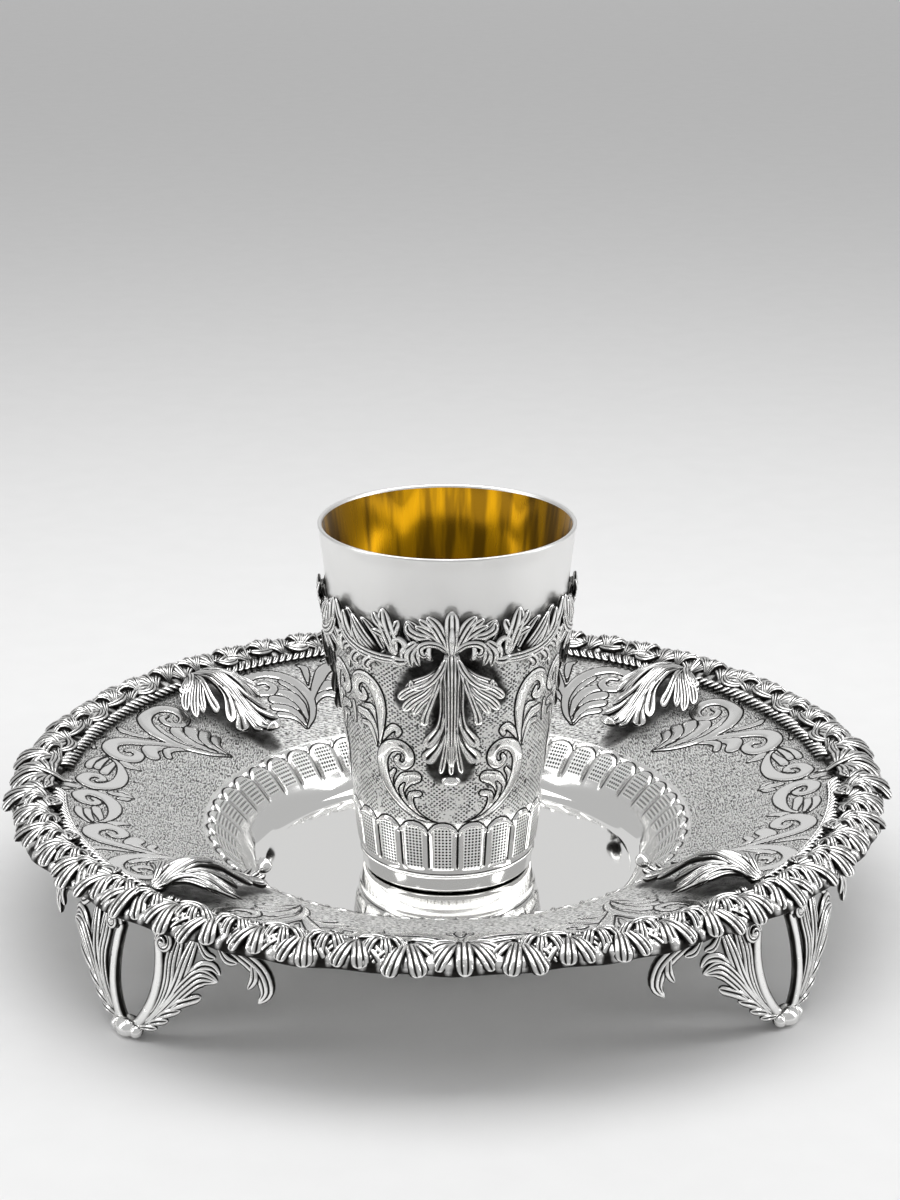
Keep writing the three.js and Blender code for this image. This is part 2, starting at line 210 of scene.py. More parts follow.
PANEL_LOBES_HIGH = [
    stroke([(43.4, 66.6), (39.8, 66.6), (36.2, 63), (34, 56.6)], [1.3, 1.8, 1.3, 0.5]),
    stroke([(42.4, 59.8), (39.4, 59.8), (36.6, 57.8), (34.4, 53.8)], [1.5, 1.5, 1.0, 0.4]),
    stroke([(26.8, 68), (29.6, 68.4), (32, 65.4), (33, 60.5)], [1.0, 1.1, 0.9, 0.3]),
    stroke([(23.4, 85.9), (26, 86.8), (28.8, 86.2), (31, 83.4)], [0.6, 0.9, 0.8, 0.2]),
    stroke([(12.8, 84.2), (15.2, 83.8), (18, 82.8), (20.2, 81.6)], [1.0, 1.0, 0.7, 0.3]),
    stroke([(0, 80.2), (0, 77.6), (0, 74.8)], [0.7, 1.3, 0.5]),
    stroke([(2.0, 88.6), (2.4, 90.4), (2.8, 91.8)], [0.4, 0.8, 0.3]),
]

# One quarter of the upper face is worked out, and turned four times.
flute_rows = np.concatenate([np.linspace(44.6, 48.4, 6), np.linspace(49, 58.4, 25)])
flange_rows = np.linspace(58.9, 92.2, 70)
rim_radius = flange_edge - 0.4
dish_rows = np.concatenate([[WELL_EDGE], flute_rows, flange_rows, [94.5, rim_radius]])
panel_turn = (np.arange(PANEL_COLUMNS) + 0.5) / PANEL_COLUMNS * math.pi / 2 - math.pi / 4
radius, turn = np.meshgrid(dish_rows, panel_turn, indexing="ij")
across = np.abs(radius * np.sin(turn))
outward = radius * np.cos(turn)
dish_layers = [inside_distance(across, outward, strokes)
               for strokes in (PANEL_LOBES_LOW, PANEL_LOBES_HIGH, PANEL_SCROLLS)]

# Oxide and painted shade darken the ground round each cast leaf and along the border.
leaf_oxide_and_shade_halo = inside_distance(across, outward, [
    stroke([(65, 65), (58, 58), (50, 50), (43.5, 43.5)], [4.5, 8.5, 6, 4])])
dish_oxide_and_shade_halo = np.maximum(leaf_oxide_and_shade_halo, (radius - 89.6) * 0.9)

# Each flute is a shallow convex tongue with an arched head, a bead between neighbouring heads.
flute_turn = (turn / (2 * math.pi) * DISH_FLUTES) % 1 - 0.5
flute_across = flute_turn * 2 * math.pi * radius / DISH_FLUTES
head_line = FLUTE_ARCH - 2.1 * np.abs(2 * flute_turn) ** 2.2
flute_inside = np.minimum(head_line - radius, (radius - 49.2) * 1.4)
side_inside = (0.5 - np.abs(flute_turn)) * 2 * math.pi * radius / DISH_FLUTES
tongue = smooth_step(0, 0.9, np.minimum(flute_inside, side_inside))
bead = np.clip(1 - ((radius - 56.4) / 0.75) ** 2 - (side_inside / 0.75) ** 2, 0, 1) ** 0.5
on_flange = smooth_step(FLANGE_START, FLANGE_START + 1.2, radius)
height = dish_height(radius) + carved_height(dish_layers) * on_flange
height = height + 0.55 * tongue * smooth_step(FLUTE_START, FLUTE_START + 1.5, radius) + 0.75 * bead
height = height - 0.3 * np.exp(-((head_line - radius) / 0.3) ** 2) * (radius > 52)

turns = (panel_turn[None, :] + (np.arange(4) * math.pi / 2)[:, None]).ravel()


def four_times(quarter):
    """Repeats the rows of one quarter for the four quarters of the dish."""
    return np.tile(quarter, (1, 4))


upper = around(four_times(radius), turns, four_times(height))
under_rows = np.array([rim_radius, 92, 77, 62, 57, 50.5, 46.6, 44])
under_drop = np.array([0.9, 1, 1, 1.1, 1.5, 1.6, 1.2, 1])
under_height = dish_height(under_rows) - under_drop
under = around(under_rows[:, None], turns, under_height[:, None])
tray_dish = new_piece("engraved_dish", *closed_skin(np.concatenate([under[::-1], upper[::-1]]),
                                                    (0, 0, WELL_FLOOR - 1), (0, 0, WELL_FLOOR)))


def all_points(quarter, blank):
    """Values for every point of the dish: blank below and at the two poles, the pattern above."""
    top = four_times(quarter)[::-1].ravel()
    return np.concatenate([np.full(len(under_rows) * len(turns), blank), top, [blank, blank]])


store(tray_dish, "layers", *[all_points(layer, FAR_OUTSIDE) for layer in dish_layers])
store(tray_dish, "flat", all_points(across, 0), all_points(outward, 0), all_points(radius, 0))
store(tray_dish, "flute", all_points(flute_across, 0), all_points(radius, 0),
      all_points(side_inside, 3))
store(tray_dish, "oxide_and_shade_halo", all_points(dish_oxide_and_shade_halo, FAR_OUTSIDE))
store(tray_dish, "heads", all_points(np.clip(head_line - radius, -3, 3), -3))


def feed(tree, value, socket):
    """Links a socket to another one, or sets it to a number."""
    if isinstance(value, bpy.types.NodeSocket):
        tree.links.new(value, socket)
    else:
        socket.default_value = value


def calc(tree, operation, *values):
    """One Math node over numbers or sockets."""
    node = tree.nodes.new("ShaderNodeMath")
    node.operation = operation
    for socket, value in zip(node.inputs, values):
        feed(tree, value, socket)
    return node.outputs[0]


def times(tree, product, *values):
    """Several values multiplied together."""
    for value in values:
        product = calc(tree, "MULTIPLY", product, value)
    return product


def fade(tree, value, low, high):
    """A smooth ramp from 0 at low to 1 at high."""
    node = tree.nodes.new("ShaderNodeMapRange")
    node.interpolation_type = "SMOOTHSTEP"
    feed(tree, value, node.inputs["Value"])
    feed(tree, low, node.inputs["From Min"])
    feed(tree, high, node.inputs["From Max"])
    return node.outputs["Result"]


def most(tree, *values):
    """The largest of several values."""
    best = values[0]
    for value in values[1:]:
        best = calc(tree, "MAXIMUM", best, value)
    return best


def stored(tree, name):
    """The three parts of a value kept on the piece's points."""
    source = tree.nodes.new("ShaderNodeAttribute")
    source.attribute_name = name
    split = tree.nodes.new("ShaderNodeSeparateXYZ")
    tree.links.new(source.outputs["Vector"], split.inputs[0])
    return split.outputs


def stored_number(tree, name):
    """The single value kept on the piece's points."""
    source = tree.nodes.new("ShaderNodeAttribute")
    source.attribute_name = name
    return source.outputs["Fac"]


def grain(tree, scale, detail=2.0, stretch=(1, 1, 1)):
    """Noise on the piece's own coordinates, about one grain to 1/scale metres."""
    place = tree.nodes.new("ShaderNodeTexCoord")
    mapping = tree.nodes.new("ShaderNodeMapping")
    mapping.inputs["Scale"].default_value = stretch
    noise = tree.nodes.new("ShaderNodeTexNoise")
    noise.inputs["Scale"].default_value = scale
    noise.inputs["Detail"].default_value = detail
    tree.links.new(place.outputs["Object"], mapping.inputs["Vector"])
    tree.links.new(mapping.outputs[0], noise.inputs["Vector"])
    return noise.outputs["Fac"]


def new_group(name, inputs, outputs):
    """An empty shader node group with float inputs, and outputs of the given kinds."""
    tree = bpy.data.node_groups.new(name, "ShaderNodeTree")
    for label in inputs:
        tree.interface.new_socket(label, in_out="INPUT", socket_type="NodeSocketFloat")
    for label, kind in outputs:
        tree.interface.new_socket(label, in_out="OUTPUT", socket_type=kind)
    return tree, tree.nodes.new("NodeGroupInput"), tree.nodes.new("NodeGroupOutput")


def place_group(tree, group, **values):
    """Puts a group into a material and sets or links its inputs by name."""
    node = tree.nodes.new("ShaderNodeGroup")
    node.node_tree = group
    for label, value in values.items():
        feed(tree, value, node.inputs[label])
    return node.outputs


def engraving_group():
    """Reads the scroll layers: gives the cut outlines, and the ground that no scroll covers."""
    tree, _, out = new_group("engraving", [], [("Line", "NodeSocketFloat"),
                                              ("Ground", "NodeSocketFloat")])
    low, high, top = stored(tree, "layers")[:3]
    cuts = [fade(tree, calc(tree, "ABSOLUTE", inside), 0.27, 0.1) for inside in (low, high, top)]
    under_top = fade(tree, top, 0.06, -0.04)
    under_high = times(tree, fade(tree, high, 0.06, -0.04), under_top)
    cut = most(tree, cuts[2], times(tree, cuts[1], under_top),
               times(tree, cuts[0], under_high))
    ground = fade(tree, most(tree, low, high, top), 0.0, -0.3)
    tree.links.new(cut, out.inputs["Line"])
    tree.links.new(ground, out.inputs["Ground"])
    return tree


# Near black: the oxide in the recesses, and also the painted shade round and under the castings.
OXIDE_AND_SHADE_BLACK = (0.018, 0.017, 0.016, 1)
SILVER_WARMTH = (1.0, 0.997, 0.985)


def tarnish_and_shade_group():
    """Silver that is bright where it is rubbed, and black where the oxide stays in the recesses and
    where painted shade is fed in.
    """
    tree, given, out = new_group("tarnish_and_shade", ["Recess", "Brightness"],
                                 [("Color", "NodeSocketColor"), ("Wear", "NodeSocketFloat")])
    patches = grain(tree, 260, 3)
    uneven = calc(tree, "MULTIPLY_ADD", patches, 0.5, -0.25)
    recess = given.outputs["Recess"]
    oxide_and_shade_share = fade(tree, calc(tree, "ADD", recess, times(tree, uneven, recess)), 0.22, 0.75)
    mix = tree.nodes.new("ShaderNodeMix")
    mix.data_type = "RGBA"
    bright = tree.nodes.new("ShaderNodeCombineColor")
    for channel, warmth in zip(("Red", "Green", "Blue"), SILVER_WARMTH):
        level = times(tree, given.outputs["Brightness"], warmth)
        tree.links.new(level, bright.inputs[channel])
    mix.inputs["B"].default_value = OXIDE_AND_SHADE_BLACK
    tree.links.new(oxide_and_shade_share, mix.inputs["Factor"])
    tree.links.new(bright.outputs[0], mix.inputs["A"])
    tree.links.new(mix.outputs["Result"], out.inputs["Color"])
    tree.links.new(oxide_and_shade_share, out.inputs["Wear"])
    return tree


def punching_group():
    """Rows of round punch marks: two cosines of the same pitch added, cut off near their peaks."""
    tree, given, out = new_group("punching", ["Along", "Across", "Pitch"],
                                 [("Dots", "NodeSocketFloat")])
    turn = calc(tree, "DIVIDE", 2 * math.pi, given.outputs["Pitch"])
    waves = [calc(tree, "COSINE", times(tree, given.outputs[label], turn))
             for label in ("Along", "Across")]
    dots = fade(tree, calc(tree, "ADD", waves[0], waves[1]), -0.1, 0.9)
    tree.links.new(dots, out.inputs["Dots"])
    return tree


def fluting_group():
    """The marks on a flute: the panel that is stippled, inside its sides and its arched head and
    past its foot, and the chased lines down its sides and round its head."""
    labels = ["Side From", "Side To", "Head From", "Foot From", "Foot To", "Line Width",
              "Line Foot", "Line Head", "Arch Width", "Arch Foot"]
    tree, given, out = new_group("fluting", labels, [
        (label, "NodeSocketFloat") for label in ("Panel", "Side Line", "Head Line")])
    (side_from, side_to, head_from, foot_from, foot_to, line_width, line_foot, line_head,
     arch_width, arch_foot) = [given.outputs[label] for label in labels]
    along, from_side = stored(tree, "flute")[1:3]
    heads = stored_number(tree, "heads")

    def ramp(value, start, length):
        """A fade over a length that starts at a value given from outside."""
        return fade(tree, value, start, calc(tree, "ADD", start, length))

    panel = times(tree, fade(tree, from_side, side_from, side_to), ramp(heads, head_from, 0.3),
                  fade(tree, along, foot_from, foot_to))
    side_line = times(tree, fade(tree, from_side, line_width, 0.12), ramp(along, line_foot, 1.0),
                      ramp(heads, line_head, 0.3))
    head_line = times(tree, fade(tree, calc(tree, "ABSOLUTE", heads), arch_width, 0.1),
                      ramp(along, arch_foot, 1.0))
    for label, value in (("Panel", panel), ("Side Line", side_line), ("Head Line", head_line)):
        tree.links.new(value, out.inputs[label])
    return tree


engraving = engraving_group()
tarnish_and_shade = tarnish_and_shade_group()
punching = punching_group()
fluting = fluting_group()


def new_material(name):
    """A metal's material: its node tree and its shader, ready for colour, roughness and bump."""
    material = bpy.data.materials.new(name)
    material.use_nodes = True
    shader = material.node_tree.nodes["Principled BSDF"]
    shader.inputs["Metallic"].default_value = 1.0
    return material, material.node_tree, shader


def bump(tree, shader, height, depth):
    """Presses a height of 0 to 1 into the surface, depth millimetres deep."""
    node = tree.nodes.new("ShaderNodeBump")
    node.inputs["Distance"].default_value = depth * MM
    tree.links.new(height, node.inputs["Height"])
    tree.links.new(node.outputs[0], shader.inputs["Normal"])


def engraved_silver():
    """The dish: bright scrolls, black cut lines, matted ground, stippled flutes, mirror well."""
    material, tree, shader = new_material("engraved_silver")
    cut, ground = place_group(tree, engraving)
    from_middle, out, radius_here = stored(tree, "flat")[:3]
    flange = fade(tree, radius_here, 57.6, 58.6)
    ground = times(tree, ground, flange)
    cut = times(tree, cut, flange)
    fine = grain(tree, 1900, 2)
    strands = tree.nodes.new("ShaderNodeTexNoise")
    strands.inputs["Scale"].default_value = 1.0
    lay = tree.nodes.new("ShaderNodeCombineXYZ")
    slanted = calc(tree, "MULTIPLY_ADD", from_middle, 0.12, out)
    tree.links.new(times(tree, from_middle, 0.9), lay.inputs[0])
    tree.links.new(times(tree, slanted, 3.4), lay.inputs[1])
    tree.links.new(lay.outputs[0], strands.inputs["Vector"])
    matting = calc(tree, "ADD", times(tree, fade(tree, fine, 0.35, 0.65), 0.7),
                   times(tree, fade(tree, strands.outputs["Fac"], 0.4, 0.6), 1.3))
    matting = times(tree, matting, ground)
    panel, side_line, head_line = place_group(tree, fluting, **{
        "Side From": 1.1, "Side To": 1.3, "Head From": 1.3, "Foot From": 50.2, "Foot To": 50.8,
        "Line Width": 0.3, "Line Foot": 49.4, "Line Head": 0.2, "Arch Width": 0.3,
        "Arch Foot": 52.0})
    across_flute, along_flute = stored(tree, "flute")[:2]
    dots = place_group(tree, punching, Along=along_flute, Across=across_flute, Pitch=0.78)[0]
    dots = times(tree, dots, panel)
    recess = most(tree, cut, times(tree, dots, 0.75), side_line, head_line,
                  times(tree, matting, 0.36))
    # Oxide and painted shade: the ground round the cast leaves and along the border is darkened,
    # unevenly.
    oxide_and_shade_halo = fade(tree, calc(tree, "MULTIPLY_ADD", grain(tree, 500, 3), 2.4,
                           stored_number(tree, "oxide_and_shade_halo")), -0.6, 4.0)
    recess = most(tree, recess, times(tree, oxide_and_shade_halo, 0.62))
    color, wear = place_group(tree, tarnish_and_shade, Recess=recess, Brightness=0.93)
    tree.links.new(color, shader.inputs["Base Color"])
    dull = calc(tree, "MULTIPLY_ADD", most(tree, ground, panel), 0.24, 0.05)
    band = fade(tree, radius_here, 47.0, 50.0)
    rough = calc(tree, "ADD", dull, times(tree, band, 0.12))
    tree.links.new(calc(tree, "MULTIPLY_ADD", wear, 0.2, rough), shader.inputs["Roughness"])
    raised = calc(tree, "SUBTRACT", times(tree, matting, 0.5),
                  most(tree, cut, dots, side_line, head_line))
    bump(tree, shader, raised, 0.16)
    return material


tray_dish.data.materials.append(engraved_silver())
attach(tray_dish, "root")
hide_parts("tray_dish")


# ---------------------------------------------------------------------------------------------
# The cup: a tapered beaker of sterling silver with a flat base and a turned foot band. The wall is
# engraved in three panels of mirrored scrolls on matted ground above a ring of 20 fluted tongues.
# ---------------------------------------------------------------------------------------------
CUP_FLUTES = 20
CUP_SIDE_COLUMNS = 540
CUP_SEAT = 8.3
CUP_TALL = 85
FOOT_RADIUS = 20.1
MOUTH_RADIUS = 29.8
CUP_FLOOR = 1.5
FIRST_LEAF = -90
TONGUE_TURN = 4.4
TONGUE_HEAD = 18.8
ARC_OF_A_DEGREE = 0.42
ABOVE_ENGRAVING = 90


def cup_radius(height):
    """The straight taper: foot radius plus the spread to the mouth times height over full height."""
    return FOOT_RADIUS + (MOUTH_RADIUS - FOOT_RADIUS) * np.asarray(height, float) / CUP_TALL


# Scrolls of one half panel of the wall: millimetres round from the leaf's middle, and height.
WALL_SCROLLS = [
    stroke([(3.4, 18.7), (8, 19.9), (12, 22.4), (15.2, 26), (16.8, 30), (16.8, 34), (14.9, 37),
            (11.9, 37.9), (9.9, 36.4), (9.8, 34), (11.4, 32.7), (12.9, 33.8), (12.3, 35.1)],
           [0.2, 0.6, 1.0, 1.35, 1.55, 1.6, 1.6, 1.5, 1.4, 1.2, 1.0, 0.85, 0.6], 90),
    stroke([(17.1, 37.6), (16.4, 42), (16.1, 46), (16.7, 49.6), (18.4, 52.4), (21, 53.2),
            (23.2, 51.6), (23.6, 49.2), (22.1, 47.8), (20.5, 48.5), (20.9, 49.9)],
           [0.4, 1.0, 1.4, 1.7, 1.7, 1.6, 1.5, 1.4, 1.2, 1.0, 0.7], 80),
]
WALL_LOBES_LOW = [
    stroke([(8.4, 30.3), (11, 29.2), (12.7, 26.2), (11.7, 22.8), (8.6, 20.1)],
           [1.6, 1.9, 1.6, 1.1, 0.5]),
    stroke([(22.9, 44.2), (20.3, 43.7), (18.5, 41.5), (17.5, 37.6)], [1.1, 1.2, 0.9, 0.4]),
    stroke([(25.2, 61), (25.2, 57.4), (25.1, 54.6)], [0.9, 1.1, 0.4]),
    stroke([(16.2, 38.6), (14.6, 41), (13.1, 42.3), (11.9, 41.7), (12.3, 40.5)],
           [0.4, 0.9, 1.0, 0.9, 0.7]),
    stroke([(25.2, 45.4), (25.2, 43), (25.2, 40.6)], [0.7, 0.8, 0.4]),
]
WALL_LOBES_HIGH = [
    stroke([(13.7, 31.3), (15.1, 29), (14.7, 26), (12.6, 22.8)], [0.6, 1.0, 1.0, 0.4]),
    stroke([(11.2, 28.4), (12.2, 26.6), (11.5, 24.2), (9.4, 21.6)], [0.3, 0.7, 0.6, 0.2]),
    stroke([(7.6, 26.1), (9.6, 25.5), (9.9, 23.6), (8.5, 21), (5.3, 19.2)],
           [0.8, 0.9, 0.85, 0.7, 0.3]),
    stroke([(20.5, 46), (18.7, 45.9), (17.4, 43.5), (17, 39.8)], [0.8, 1.0, 0.8, 0.3]),
    stroke([(21.9, 41.5), (20, 41.3), (18.9, 39.2), (18.2, 36.4)], [0.8, 0.9, 0.7, 0.3]),
]

# The outer wall is a grid of heights by angle; every row is one ring of the beaker.
wall_turn = (np.arange(CUP_SIDE_COLUMNS) + 0.5) / CUP_SIDE_COLUMNS * 360 - 60
wall_rows = np.concatenate([[0.0, 0.25, 0.9, 3.6, 4.1, 4.4, 4.7, 5.2], np.linspace(6, 18.4, 34),
                            np.linspace(18.7, 62.5, 92), np.linspace(63.5, 83.6, 8),
                            [84.2, 84.7, 84.95]])
wall_height, wall_angle = np.meshgrid(wall_rows, wall_turn, indexing="ij")
in_panel = (wall_angle + 60) % 120 - 60
round_mm = np.abs(in_panel) * ARC_OF_A_DEGREE
wall_layers = [inside_distance(round_mm, wall_height, strokes)
               for strokes in (WALL_LOBES_LOW, WALL_LOBES_HIGH, WALL_SCROLLS)]

# Oxide and painted shade: a dark halo round the leaf and under the garland.
oxide_and_shade_halo_strokes = [
    stroke([(0, 63), (0, 54), (0, 44), (1, 38), (2, 32.5)], [5.0, 5.4, 5.2, 7.4, 4.6]),
    stroke([(2, 60), (6, 55), (9, 50.5)], [3.4, 5.4, 4.8]),
    stroke([(0, 63), (8, 62.6), (13, 62.6), (18, 61), (22, 60.6), (25.2, 62)],
           [3.4, 2.6, 2.6, 2.4, 2.4, 2.8]),
]
wall_oxide_and_shade_halo = inside_distance(round_mm, wall_height, oxide_and_shade_halo_strokes)

# Tongues: an arched head, sunk joints, a bead between heads and a ridge ring below.
tongue_turn = ((wall_angle - TONGUE_TURN) / 360 * CUP_FLUTES) % 1 - 0.5
tongue_width = 2 * math.pi * cup_radius(wall_height) / CUP_FLUTES
tongue_side = (0.5 - np.abs(tongue_turn)) * tongue_width
tongue_head = TONGUE_HEAD - 2.3 * np.abs(2 * tongue_turn) ** 2.4
head_inside = tongue_head - wall_height
swell = smooth_step(0, 1.3, np.minimum(tongue_side, head_inside * 1.2))
swell = swell * smooth_step(5.3, 7.4, wall_height)
wall_bead = np.clip(1 - ((wall_height - 16.1) / 0.72) ** 2 - (tongue_side / 0.72) ** 2, 0, 1) ** 0.5
foot_ridge = np.exp(-((wall_height - 4.4) / 0.3) ** 2)
relief = 0.5 * swell + 0.7 * wall_bead + 0.32 * foot_ridge
engraved = smooth_step(18.6, 19.3, wall_height) * smooth_step(63, 61, wall_height)
relief = relief + carved_height(wall_layers, 0.3) * engraved
edge_round = np.interp(wall_height, [0, 0.25, 0.9, 83.6, 84.2, 84.7, 84.95],
                       [-0.7, -0.28, 0, 0, 0.12, 0.1, -0.12])
outer_radius = cup_radius(wall_height) + relief + edge_round
cup_angle = np.radians(wall_turn + FIRST_LEAF)
inner_heights = np.array([84.95, 84.6, 60, 30, 2.6, 1.8, 1.5])
inner_inset = np.array([0.5, 0.85, 0.9, 0.9, 0.9, 1.6, 3.4])
outer_rings = around(outer_radius, cup_angle, wall_height + CUP_SEAT)
inner_rings = around((cup_radius(inner_heights) - inner_inset)[:, None], cup_angle,
                     inner_heights[:, None] + CUP_SEAT)
cup = new_piece("engraved_beaker", *closed_skin(np.concatenate([outer_rings, inner_rings]),
                                                (0, 0, CUP_SEAT), (0, 0, CUP_SEAT + CUP_FLOOR)))


def wall_values(pattern, blank):
    """Values for every point of the beaker: the pattern outside, blank inside and at the poles."""
    inside = np.full(inner_rings.shape[0] * inner_rings.shape[1] + 2, blank)
    return np.concatenate([pattern.ravel(), inside])


store(cup, "layers", *[wall_values(layer, FAR_OUTSIDE) for layer in wall_layers])
store(cup, "round", wall_values(round_mm, 0))
store(cup, "flute", wall_values(tongue_turn * tongue_width, 0),
      wall_values(wall_height, ABOVE_ENGRAVING), wall_values(tongue_side, 3))
store(cup, "oxide_and_shade_halo", wall_values(wall_oxide_and_shade_halo, FAR_OUTSIDE))
store(cup, "heads", wall_values(np.clip(head_inside, -3, 12), -3))


def polished_silver():
    """The beaker: satin above, matted ground with bright scrolls, stippled tongues, bright foot."""
    material, tree, shader = new_material("polished_silver")
    cut, ground = place_group(tree, engraving)
    from_middle = stored_number(tree, "round")
    across_flute, high = stored(tree, "flute")[:2]
    worked = times(tree, fade(tree, high, 18.4, 19), fade(tree, high, 64.5, 63.5))
    cut = times(tree, cut, worked)
    ground = times(tree, ground, worked, fade(tree, stored_number(tree, "heads"), 0.0, -0.25))
    slant = calc(tree, "MULTIPLY_ADD", from_middle, 0.8, high)
    crossing = calc(tree, "MULTIPLY_ADD", from_middle, -0.8, high)
    hatch = place_group(tree, punching, Along=slant, Across=crossing, Pitch=1.06)[0]
    hatch = times(tree, hatch, fade(tree, grain(tree, 420, 3), 0.3, 0.5))
    matting = times(tree, most(tree, hatch, fade(tree, grain(tree, 1500), 0.5, 0.66)), ground)
    panel, side_line, head_line = place_group(tree, fluting, **{
        "Side From": 1.2, "Side To": 1.35, "Head From": 1.4, "Foot From": 6.4, "Foot To": 6.8,
        "Line Width": 0.34, "Line Foot": 6.0, "Line Head": 0.3, "Arch Width": 0.32,
        "Arch Foot": 14.0})
    dots = place_group(tree, punching, Along=high, Across=across_flute, Pitch=0.8)[0]
    dots = times(tree, dots, panel)
    ridge_line = fade(tree, calc(tree, "ABSOLUTE", calc(tree, "SUBTRACT", high, 4.95)), 0.28, 0.08)
    recess = most(tree, cut, times(tree, dots, 0.8), side_line, head_line,
                  times(tree, ridge_line, 0.7), times(tree, matting, 0.64))
    # Oxide and painted shade: the wall round each leaf and under the garland is darkened, unevenly.
    oxide_and_shade_halo = fade(tree, calc(tree, "MULTIPLY_ADD", grain(tree, 700, 3), 2.4,
                           stored_number(tree, "oxide_and_shade_halo")), 0.2, 3.4)
    recess = most(tree, recess, times(tree, oxide_and_shade_halo, 0.68))
    color, wear = place_group(tree, tarnish_and_shade, Recess=recess, Brightness=0.84)
    tree.links.new(color, shader.inputs["Base Color"])
    satin = times(tree, fade(tree, high, 60, 62), 0.26)
    handling = times(tree, fade(tree, grain(tree, 70, 5), 0.4, 0.7), 0.06)
    plain = calc(tree, "ADD", calc(tree, "ADD", satin, handling), 0.06)
    rough = calc(tree, "MULTIPLY_ADD", most(tree, ground, panel), 0.24, plain)
    tree.links.new(calc(tree, "MULTIPLY_ADD", wear, 0.2, rough), shader.inputs["Roughness"])
    brushed = times(tree, grain(tree, 2600, 2), times(tree, satin, 0.25))
    raised = calc(tree, "SUBTRACT", brushed,
                  most(tree, cut, dots, side_line, head_line, times(tree, matting, 0.6)))
    bump(tree, shader, raised, 0.16)
    return material


cup.data.materials.append(polished_silver())
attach(cup, "root")
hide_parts("cup_body")

# ---------------------------------------------------------------------------------------------
# The gilding: a thin skin of gold plated over the inside of the beaker, from just under the lip
# down to the floor, burnished until it mirrors.
# ---------------------------------------------------------------------------------------------
GILT_COLUMNS = 240
GILT_THICK = 0.04
GILT_GAP = 0.005
GOLD_SHADE = (0.12, 0.06, 0.003, 1)
GOLD_BRIGHT = (0.33, 0.165, 0.003, 1)
gilt_heights = np.array([84.3, 60, 30, 2.6, 1.8, 1.5, 1.5])
gilt_inset = np.array([0.86, 0.9, 0.9, 0.9, 1.6, 3.4, 19])
gilt_angle = np.arange(GILT_COLUMNS) / GILT_COLUMNS * 2 * math.pi
gilt_radius = np.maximum(cup_radius(gilt_heights) - gilt_inset, 1.0)
dips = (np.sin(gilt_angle * 5 + 0.6) + 0.6 * np.sin(gilt_angle * 11 + 2)
        + 0.5 * np.sin(gilt_angle * 19))
hammering = 0.05 * (dips[None, :] + 2.1) * np.clip((gilt_heights - 3) / 20, 0, 1)[:, None]
gilt_seat = gilt_heights[:, None] + CUP_SEAT
gilt_inner = around(gilt_radius[:, None] - GILT_THICK - hammering, gilt_angle,
                    gilt_seat + GILT_THICK)
gilt_outer = around((gilt_radius - GILT_GAP)[:, None], gilt_angle, gilt_seat + GILT_GAP)
gilding = new_piece("gilt_inside", *closed_skin(
    np.concatenate([gilt_outer[::-1], gilt_inner]), (0, 0, CUP_SEAT + CUP_FLOOR + GILT_GAP),
    (0, 0, CUP_SEAT + CUP_FLOOR + GILT_THICK)))


def gold_leaf():
    """Deep yellow gold, burnished in upright strokes that leave darker and lighter streaks."""
    material, tree, shader = new_material("gold_leaf")
    clouds = grain(tree, 210, 3, (1, 1, 0.04))
    place = tree.nodes.new("ShaderNodeTexCoord")
    split = tree.nodes.new("ShaderNodeSeparateXYZ")
    tree.links.new(place.outputs["Object"], split.inputs[0])
    lower = fade(tree, split.outputs["Z"], 0.016, 0.011)
    strokes = most(tree, fade(tree, clouds, 0.38, 0.56), lower)
    tone = tree.nodes.new("ShaderNodeMix")
    tone.data_type = "RGBA"
    tone.inputs["A"].default_value = GOLD_SHADE
    tone.inputs["B"].default_value = GOLD_BRIGHT
    tree.links.new(strokes, tone.inputs["Factor"])
    tree.links.new(tone.outputs["Result"], shader.inputs["Base Color"])
    tree.links.new(calc(tree, "MULTIPLY_ADD", clouds, 0.2, 0.16), shader.inputs["Roughness"])
    bump(tree, shader, grain(tree, 300, 3), 0.01)
    return material


gilding.data.materials.append(gold_leaf())
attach(gilding, "root")


# ---------------------------------------------------------------------------------------------
# The three leaves of the cup: acanthus cast solid in silver and soldered to the wall at the top
# and at the tip. Each has a ribbed spine, two fans, two pairs of spoon lobes and an oval bead.
# ---------------------------------------------------------------------------------------------
LEAF_TOP = 62.2
cup_leaf_turns = [FIRST_LEAF + 120 * number for number in range(3)]


def curve_at(points, shares):
    """The Catmull-Rom curve through the points, taken at the given shares of its length."""
    steps = 160
    return np.stack([np.interp(shares, np.linspace(0, 1, steps), column)
                     for column in curve_through(points, steps).T], axis=1)


